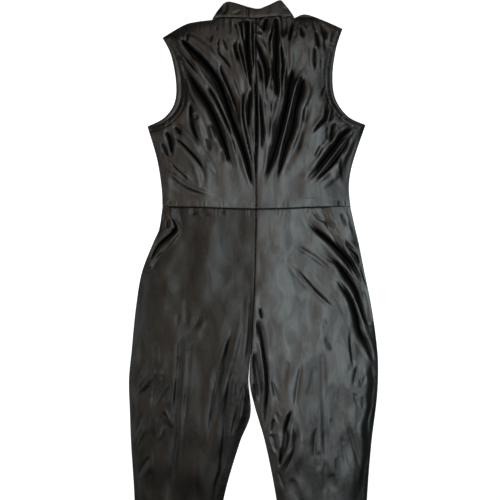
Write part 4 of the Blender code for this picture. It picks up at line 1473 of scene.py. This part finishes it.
@dataclass
class Bodice:
    """Both layers of the bodice, with the armhole facings."""

    layout: Layout
    columns: int = 104
    rows: int = 205
    back_columns: int = 40
    back_rows: int = 70
    cut: tuple[float, float] = (0.232, 0.40)          # flat piece with its gathers, m
    cut_area: float = 0.071
    back_cut: tuple[float, float] = (0.222, 0.39)
    back_area: float = 0.064

    def plan(self, side: Side, step: float) -> Plan:
        """Outline of a bodice half, filled in from its four edges.

        Args:
            side: The wearer's side.
            step: How far the armhole is cut in.

        Returns:
            A function from shares across and up to rows of x and y.
        """
        corners = [np.array(place, float) for place in
                   ((0.0, -WAIST_SAG), SIDE_SEAM[side][0], NECK[side][0], ARMHOLE[side][0])]

        def place(across: Array, up: Array) -> Array:
            """Places at shares of the panel's width and height.

            Args:
                across: Shares of the panel's width.
                up: Shares of its height.

            Returns:
                Rows of x and y.
            """
            u, v = across[:, None], up[:, None]
            low_x = SIDE_SEAM[side][0][0] * across
            low = np.stack([low_x, waist_y(low_x)], axis=-1)
            high = np.where(u < NECK_SHARE, curve(NECK[side]).at(across / NECK_SHARE),
                            curve(SHOULDER[side]).at((across - NECK_SHARE) / (1 - NECK_SHARE)))
            armhole = armhole_at(side, 1.0 - (up - UNDERARM_SHARE) / (1 - UNDERARM_SHARE), step)
            outer = np.where(v < UNDERARM_SHARE, curve(SIDE_SEAM[side]).at(up / UNDERARM_SHARE), armhole)
            centre_y = np.interp(up, (0.0, UNDERARM_SHARE, 1.0), (-WAIST_SAG, UNDERARM_Y, NECK[side][0][1]))
            centre = np.stack([np.zeros(up.shape), centre_y], axis=-1)
            weights = ((1 - u) * (1 - v), u * (1 - v), (1 - u) * v, u * v)
            filled = (1 - v) * low + v * high + (1 - u) * centre + u * outer
            filled = filled - sum(weight * corner for weight, corner in zip(weights, corners))
            seam = np.stack([side.value * HALF_SLIT * (1 - across), HALF_SLIT * (1 - 2 * up)], axis=-1)
            return filled + seam

        return place

    def facing_plan(self, side: Side) -> Plan:
        """Outline of the facing along the back's armhole.

        Args:
            side: The wearer's side.

        Returns:
            A function from shares across and up to rows of x and y.
        """
        def place(across: Array, up: Array) -> Array:
            """Places at shares of the facing's width and length.

            Args:
                across: Shares of the panel's width.
                up: Shares of its height.

            Returns:
                Rows of x and y.
            """
            share = 0.01 + 0.98 * up
            width = ARMHOLE_FACING * (0.3 + 0.7 * np.sin(np.pi * share))
            line = curve(ARMHOLE[side])
            return line.at(share) + line.inward(share, side) * (width * across)[:, None]

        return place

    def facing_top(self, side: Side) -> Top:
        """Upper surface of the facing: a rolled edge, a stitched line and small puckers.

        Args:
            side: The wearer's side.

        Returns:
            A function from x and y to heights and the mask of painted crease shade.
        """
        pucker = Pucker(0.5, 10.0, 0.16, 11.0, 2.8)

        def top(x: Array, y: Array) -> tuple[Array, Array]:
            """Heights and creases of the facing.

            Args:
                x: Places' x.
                y: Places' y.

            Returns:
                The heights, and the mask of painted crease shade.
            """
            away, along = nearest(armhole_line(side, 0.0), x, y)
            crown = 0.8 * smooth(away / 3.0) - 0.5 * smooth((away - 4.0) / 6.0)
            return FACING_Z + CLOTH + crown + pucker.at(away, along), np.zeros(x.shape)

        return top

    def build(self, satins: dict[Side, bpy.types.Material]) -> list[bpy.types.Object]:
        """Make the bodice's six pieces.

        Args:
            satins: The cloth's finish on each side.

        Returns:
            The front halves, the back halves and the facings.
        """
        made = []
        for side in Side:
            back = Panel(f"back_bodice_{side.word}", self.back_columns, self.back_rows, self.plan(side, 0.0),
                         flat_top(BACK_Z)).build(self.layout, satins[side], "back_satin")
            facing = Panel(f"armhole_facing_{side.word}", 10, 130, self.facing_plan(side),
                           self.facing_top(side)).build(self.layout, satins[side], "facing_satin")

            def top(x: Array, y: Array, side: Side = side) -> tuple[Array, Array]:
                """Heights and creases of this front half."""
                return front_top(side, x, y, True)

            plan = self.plan(side, ARMHOLE_STEP[side])
            front = Panel(f"front_bodice_{side.word}", self.columns, self.rows, plan,
                          top).build(self.layout, satins[side], "front_satin")
            made += [front, back, facing]
        return made


TOP_ROW = 0.9999        # shares above this are the grid's top row


@dataclass
class Legs:
    """Both layers of the two legs, with the pocket facings."""

    layout: Layout
    columns: int = 128
    knee_y: float = -600.0
    upper_rows: int = 300
    lower_rows: int = 80
    cut: tuple[float, float] = (0.27, 1.08)
    cut_area: float = 0.215

    def heights(self, up: Array) -> Array:
        """Heights of the grid's rows, closer together above the knee."""
        split = self.lower_rows / (self.lower_rows + self.upper_rows)
        return np.interp(up, (0.0, split, 1.0), (HEM_Y, self.knee_y, 0.0))

    def plan(self, side: Side, face: Face) -> Plan:
        """Outline of a leg panel; a front one is cut away along its pocket mouth.

        Args:
            side: The wearer's side.
            face: Which layer it belongs to.

        Returns:
            A function from shares across and up to rows of x and y.
        """
        def place(across: Array, up: Array) -> Array:
            """Places at shares of the panel's width and height.

            Args:
                across: Shares of the panel's width.
                up: Shares of its height.

            Returns:
                Rows of x and y.
            """
            y = self.heights(up)
            outer = outseam_x(side, y)
            if face is Face.FRONT:
                outer = np.where(y >= MOUTH[side][-1][1] + 0.5, mouth_x(side, y), outer)
            inner = inner_x(side, y) + side.value * HALF_SLIT
            x = inner + (outer - inner) * across
            sag = waist_y(x) * (1.0 - smooth(-y / SAG_FADE))
            return np.stack([x, y + sag - HALF_SLIT * (up > TOP_ROW)], axis=-1)

        return place

    def facing_plan(self, side: Side) -> Plan:
        """Outline of the facing behind a pocket mouth.

        Args:
            side: The wearer's side.

        Returns:
            A function from shares across and up to rows of x and y.
        """
        def place(across: Array, up: Array) -> Array:
            """Places at shares of the facing's width and height.

            Args:
                across: Shares of the panel's width.
                up: Shares of its height.

            Returns:
                Rows of x and y.
            """
            share = 1.0 - up
            y = -1.0 + (MOUTH[side][-1][1] + 2.0) * share
            outer = outseam_x(side, y) - side.value * 0.5
            inner = mouth_x(side, y) - side.value * FACING_TUCK * (1.0 - 0.5 * share)
            x = inner + (outer - inner) * across
            return np.stack([x, y + waist_y(x)], axis=-1)

        return place

    def facing_top(self, side: Side) -> Top:
        """Upper surface of the pocket facing, which swells between its seams.

        Args:
            side: The wearer's side.

        Returns:
            A function from x and y to heights and the mask of painted crease shade.
        """
        def top(x: Array, y: Array) -> tuple[Array, Array]:
            """Heights and creases of the facing.

            Args:
                x: Places' x.
                y: Places' y.

            Returns:
                The heights, and the mask of painted crease shade.
            """
            from_seam = np.abs(outseam_x(side, y) - x)
            from_mouth = np.abs(mouth_x(side, y) - x)
            swell = 1.6 * smooth(from_seam / 14.0) * smooth(1.0 - (from_seam - from_mouth) / 60.0)
            pucker = Pucker(0.0, 40.0, 0.22, 19.0, 0.9).at(from_seam, -y)
            height, closed = swell + pucker + RELIEF.ripples(x, y) * 0.5, np.zeros(x.shape)
            for fold in POCKET_FOLDS[side]:
                added, mask = RELIEF.fold(fold, x, y)
                height, closed = height + added, np.maximum(closed, mask)
            return FACING_Z + CLOTH + np.maximum(height, 0.0), closed

        return top

    def build(self, satins: dict[Side, bpy.types.Material]) -> list[bpy.types.Object]:
        """Make the legs' six pieces.

        Args:
            satins: The cloth's finish on each side.

        Returns:
            The front panels, the back panels and the facings.
        """
        made = []
        for side in Side:
            back = Panel(f"back_leg_{side.word}", 40, 205, self.plan(side, Face.BACK),
                         flat_top(BACK_Z)).build(self.layout, satins[side], "back_satin")
            facing = Panel(f"pocket_facing_{side.word}", 20, 70, self.facing_plan(side),
                           self.facing_top(side)).build(self.layout, satins[side], "facing_satin")

            def top(x: Array, y: Array, side: Side = side) -> tuple[Array, Array]:
                """Heights and creases of this front leg."""
                return front_top(side, x, y, False)

            front = Panel(f"front_leg_{side.word}", self.columns, self.upper_rows + self.lower_rows,
                          self.plan(side, Face.FRONT), top).build(self.layout, satins[side], "front_satin")
            made += [front, back, facing]
        return made


@dataclass
class Collar:
    """Stand collar: a flattened double ring of cloth on the neck seam."""

    layout: Layout
    around: int = 216
    levels: int = 16
    height: float = 7.0
    wall: float = 0.9
    flatness: float = 3.0
    gap: float = 0.3            # over the neck seam
    swell: float = 0.5
    fold_up: float = 1.02       # the top's fold stands a little above the collar's height
    seam: Groove = Groove(0.9, 2.0)
    pucker: Pucker = Pucker(0.5, 14.0, 0.14, 11.0, 0.4)
    dents: Sequence[Fold] = (
        Fold(-1.8, ((-17, 404, 5), (-17, 390, 6), (-18, 376, 5)), enter=0.1, leave=0.1),
        soft(24, 404, 24, 380, 7, -0.9),
        soft(-60, 410, -66, 380, 14, -2.0),
        soft(-84, 382, -64, 406, 10, -2.0),
        soft(-48, 384, -26, 392, 7, -0.9),
        soft(52, 396, 78, 390, 8, -0.9),
        soft(44, 383, 72, 382, 5, 1.0),
        soft(0, 392, 2, 380, 12, 0.5),
    )

    def ring(self, solid: bmesh.types.BMesh, up: float, inset: float) -> list[bmesh.types.BMEdge]:
        """One closed loop of the collar.

        Args:
            solid: The bmesh that takes it.
            up: Share of the collar's height.
            inset: How far it is moved in from the outside.

        Returns:
            The loop's edges.
        """
        loop = bmesh.ops.create_circle(solid, segments=self.around, radius=1.0)["verts"]
        start, end = (curve(COLLAR_END[side]).at(np.array([up]))[0, 0] for side in Side)
        angle = np.array([math.atan2(vert.co.y, vert.co.x) for vert in loop])
        across = 0.5 + 0.5 * np.cos(angle)
        half = (end - start) / 2
        x = start + half + (half - inset) * np.cos(angle)
        neck_start, neck_end = NECK[Side.RIGHT][-1][0], NECK[Side.LEFT][-1][0]
        low = neck_y(neck_start + (neck_end - neck_start) * across if up > 0.0 else x)
        y = low + (curve(COLLAR_TOP).at(across)[:, 1] - low) * up + self.gap
        flat = np.clip(np.sin(angle) * self.flatness, -1.0, 1.0)
        z = 0.5 * self.height + flat * (0.5 * self.height - inset)
        upper = np.clip(flat, 0.0, 1.0)
        dents = sum(RELIEF.fold(dent, x, y)[0] for dent in self.dents)
        seam = self.seam.at(y - low) + self.swell * math.sin(math.pi * min(1.0, up)) ** 0.5
        pucker = self.pucker.at(y - low, x + 200.0)
        z = z + upper * (dents + seam + pucker)
        for vert, one_x, one_y, one_z in zip(loop, x, y, z):
            vert.co = self.layout.place(one_x, one_y, max(one_z, BACK_Z))
        return list({edge for vert in loop for edge in vert.link_edges})

    def build(self, satin: bpy.types.Material) -> bpy.types.Object:
        """Make the collar, with a rounded fold along its top.

        Args:
            satin: The cloth's finish.

        Returns:
            The collar.
        """
        solid = bmesh.new()
        solid.verts.layers.float.new("crease")
        ups = np.linspace(0.0, 1.0, self.levels + 1)
        outer = [self.ring(solid, float(up), 0.0) for up in ups]
        fold = self.ring(solid, self.fold_up, 0.5 * self.wall)
        inner = [self.ring(solid, float(up), self.wall) for up in ups[::-1]]
        loops = [*outer, fold, *inner, outer[0]]
        for one, two in zip(loops, loops[1:]):
            bmesh.ops.bridge_loops(solid, edges=one + two)
        bmesh.ops.recalc_face_normals(solid, faces=solid.faces[:])
        made = piece("satin_collar", solid, satin, ("collar",))
        return made


@dataclass
class Stitching:
    """Rows of machine stitches along the armholes, pocket mouths and hems."""

    layout: Layout
    length: float = 2.6
    pitch: float = 3.2
    girth: float = 0.32
    margin: float = 3.0         # from a hem's row to the seams
    tack: tuple[float, float, float] = (1.1, 3.4, 0.8)      # one stitch of a bar tack
    tack_stitches: int = 15
    row_points: int = 60
    hem_points: int = 40

    @staticmethod
    def bead(solid: bmesh.types.BMesh, size: Sequence[float]) -> list[bmesh.types.BMVert]:
        """Add one rounded stitch of a size in metres, at the origin.

        Args:
            solid: The bmesh that takes it.
            size: Its size along x, y and z.

        Returns:
            Its vertices.
        """
        made = bmesh.ops.create_uvsphere(solid, u_segments=6, v_segments=4, radius=0.5)["verts"]
        bmesh.ops.scale(solid, vec=size, verts=made)
        return made

    def row(self, name: str, line: Array, side: Side, on_bodice: bool,
            thread: bpy.types.Material) -> bpy.types.Object:
        """Lay one row of stitches on the front.

        Args:
            name: The row's name.
            line: Points that it follows.
            side: The wearer's side.
            on_bodice: Whether it lies on the bodice and not the leg.
            thread: The thread's finish.

        Returns:
            The object.
        """
        steps = np.linalg.norm(np.diff(line, axis=0), axis=1)
        runs = np.concatenate([[0.0], np.cumsum(steps)])
        starts = np.arange(self.pitch / 2, runs[-1] - self.length, self.pitch)
        solid = bmesh.new()
        for start in starts:
            ends = np.array([start, start + self.length])
            x, y = (np.interp(ends, runs, line[:, axis]) for axis in (0, 1))
            z = front_top(side, x, y, on_bodice)[0]
            one, two = (self.layout.place(x[i], y[i], z[i]) for i in (0, 1))
            along = two - one
            made = self.bead(solid, (self.girth * MM, self.girth * MM, along.length))
            turn = along.to_track_quat("Z", "Y").to_matrix().to_4x4()
            bmesh.ops.transform(solid, matrix=turn, verts=made)
            bmesh.ops.translate(solid, verts=made, vec=(one + two) / 2)
        return piece(name, solid, thread, sharp=180.0)

    def bar(self, name: str, places: Sequence[Pair], side: Side,
            thread: bpy.types.Material) -> bpy.types.Object:
        """Sew a bar tack between two places on a front leg.

        Args:
            name: The tack's name.
            places: Its two ends.
            side: The wearer's side.
            thread: The thread's finish.

        Returns:
            The object.
        """
        ends = np.array(places, float)
        solid = bmesh.new()
        for share in np.linspace(0.0, 1.0, self.tack_stitches):
            x, y = ends[0] + (ends[1] - ends[0]) * share
            z = front_top(side, np.array([x]), np.array([y]), False)[0][0]
            made = self.bead(solid, [size * MM for size in self.tack])
            bmesh.ops.translate(solid, verts=made, vec=self.layout.place(x, y, z))
        return piece(name, solid, thread, sharp=180.0)

    def build(self, thread: bpy.types.Material) -> list[bpy.types.Object]:
        """Make every row of stitches and the two bar tacks.

        Args:
            thread: The thread's finish.

        Returns:
            The pieces.
        """
        made = []
        tacks = {Side.RIGHT: ((-224, -128), (-209, -132)), Side.LEFT: ((235, -236), (224, -240))}
        for side in Side:
            share = np.linspace(0.03, 0.97, self.row_points)
            armhole = armhole_at(side, share, ARMHOLE_STEP[side])
            armhole = armhole + curve(ARMHOLE[side]).inward(share, side) * SEWING.armhole_hem
            made.append(self.row(f"armhole_stitches_{side.word}", armhole, side, True, thread))
            y = np.linspace(-self.margin, MOUTH[side][-1][1] + 2 * self.margin, self.row_points)
            x = mouth_x(side, y) - side.value * SEWING.lip_width(side, y)
            mouth = np.stack([x, y], axis=-1)
            made.append(self.row(f"pocket_stitches_{side.word}", mouth, side, False, thread))
            hem = np.full(self.hem_points, HEM_Y + SEWING.hem_depth)
            margin = side.value * self.margin
            x = np.linspace(inner_x(side, hem[0]) + margin, outseam_x(side, hem[0]) - margin, self.hem_points)
            line = np.stack([x, hem], axis=-1)
            made.append(self.row(f"hem_stitches_{side.word}", line, side, False, thread))
            made.append(self.bar(f"pocket_tack_{side.word}", tacks[side], side, thread))
        return made


# ---------------------------------------------------------------- studio

@dataclass(frozen=True)
class Lamp:
    """One soft rectangular light that hangs over the cloth and faces straight down."""

    name: str
    x: float            # middle, mm in the tables' axes
    y: float
    z: float
    wide: float
    long: float
    radiance: float
    colour: Colour

    def hang(self, layout: Layout) -> bpy.types.Object:
        """Add the light.

        Args:
            layout: Where the garment lies in the frame.

        Returns:
            The light's object.
        """
        light = bpy.data.lights.new(self.name, "AREA")
        light.shape = "RECTANGLE"
        light.size, light.size_y = self.wide * MM, self.long * MM
        light.energy = self.radiance * math.pi * light.size * light.size_y
        light.color = self.colour
        made = bpy.data.objects.new(self.name, light)
        made.location = layout.place(self.x, self.y, self.z)
        made.visible_camera = False
        bpy.context.scene.collection.objects.link(made)
        return made


@dataclass
class Studio:
    """Floor, lights, surroundings and camera."""

    layout: Layout
    lamps: Sequence[Lamp] = (
        Lamp("overhead_warm", -270, -25, 1000, 580, 1450, 0.92, (1.0, 0.83, 0.68)),
        Lamp("window_cool", 235, -130, 1000, 420, 1100, 4.5, (0.75, 0.92, 1.0)),
        Lamp("skylight", 130, 720, 1000, 900, 600, 0.95, (1.0, 0.94, 0.90)),
        Lamp("far_window", -960, -430, 1000, 600, 840, 2.2, (0.84, 0.95, 1.0)),
    )
    centre_x: float = -12.0      # middle of the view
    centre_y: float = -86.0
    view_width: float = 1000.0
    distance: float = 2200.0
    floor_half: float = 4.0      # half the floor's width, m
    dim: float = 0.012           # surroundings as the cloth sees them
    pale: float = 1.0            # surroundings as the camera sees them

    def surroundings(self) -> None:
        """Pale surroundings that light the cloth only a little."""
        world = bpy.data.worlds.new("surroundings")
        bpy.context.scene.world = world
        world.use_nodes = True
        kit = NodeKit(world.node_tree)
        background = world.node_tree.nodes["Background"]
        rays = kit.add("ShaderNodeLightPath")
        added = kit.maths("MULTIPLY", rays.outputs["Is Camera Ray"], self.pale - self.dim)
        tone = kit.maths("ADD", added, self.dim)
        kit.join(tone, background.inputs["Strength"])
        background.inputs["Color"].default_value = (1.0, 1.0, 1.0, 1.0)

    def floor(self) -> bpy.types.Object:
        """A wide pale floor just under the garment.

        Returns:
            The floor.
        """
        solid = bmesh.new()
        bmesh.ops.create_grid(solid, x_segments=4, y_segments=4, size=self.floor_half)
        mesh = bpy.data.meshes.new("floor")
        solid.to_mesh(mesh)
        solid.free()
        made = bpy.data.objects.new("floor", mesh)
        mesh.materials.append(PaleFloor().material())
        bpy.context.scene.collection.objects.link(made)
        return made

    def camera(self) -> bpy.types.Object:
        """A camera that looks straight down on the upper part of the garment.

        Returns:
            The camera.
        """
        lens = bpy.data.cameras.new("camera")
        lens.type = "PERSP"
        lens.sensor_fit = "HORIZONTAL"
        lens.angle = 2.0 * math.atan(0.5 * self.view_width / self.distance)
        made = bpy.data.objects.new("camera", lens)
        made.location = self.layout.place(self.centre_x, self.centre_y, self.distance)
        bpy.context.scene.collection.objects.link(made)
        bpy.context.scene.camera = made
        return made

    def build(self) -> None:
        """Set up everything round the garment."""
        self.floor()
        self.surroundings()
        for lamp in self.lamps:
            lamp.hang(self.layout)
        self.camera()
        bpy.context.scene.view_settings.view_transform = "Standard"


def main() -> None:
    """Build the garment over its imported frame, then the studio."""
    logging.basicConfig(level=logging.INFO, format="%(message)s")
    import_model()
    layout = Layout.from_frame()
    # One satin in copies: the left leg's higher specular level, fuller coat and milder tint paint a brighter
    # sheen, and the right leg's and the collar's lower level, thinner coat and warm tint paint a darker,
    # browner one, standing in for how the mirrored panels catch the lamps.
    satins = {Side.RIGHT: Satin("black_satin_right", gloss=0.32, tint=WARM, coat=0.3).material(),
              Side.LEFT: Satin("black_satin_left", gloss=0.57, coat=0.65).material()}
    bodice_satins = {Side.RIGHT: Satin("bodice_satin_right").material(),
                     Side.LEFT: Satin("bodice_satin_left").material()}
    collar_satin = Satin("black_satin_collar", gloss=0.38, tint=WARM, coat=0.3).material()
    thread = Thread("black_thread").material()
    Bodice(layout).build(bodice_satins)
    Legs(layout).build(satins)
    Collar(layout).build(collar_satin)
    Stitching(layout).build(thread)
    Studio(layout).build()


if __name__ == "__main__":
    main()
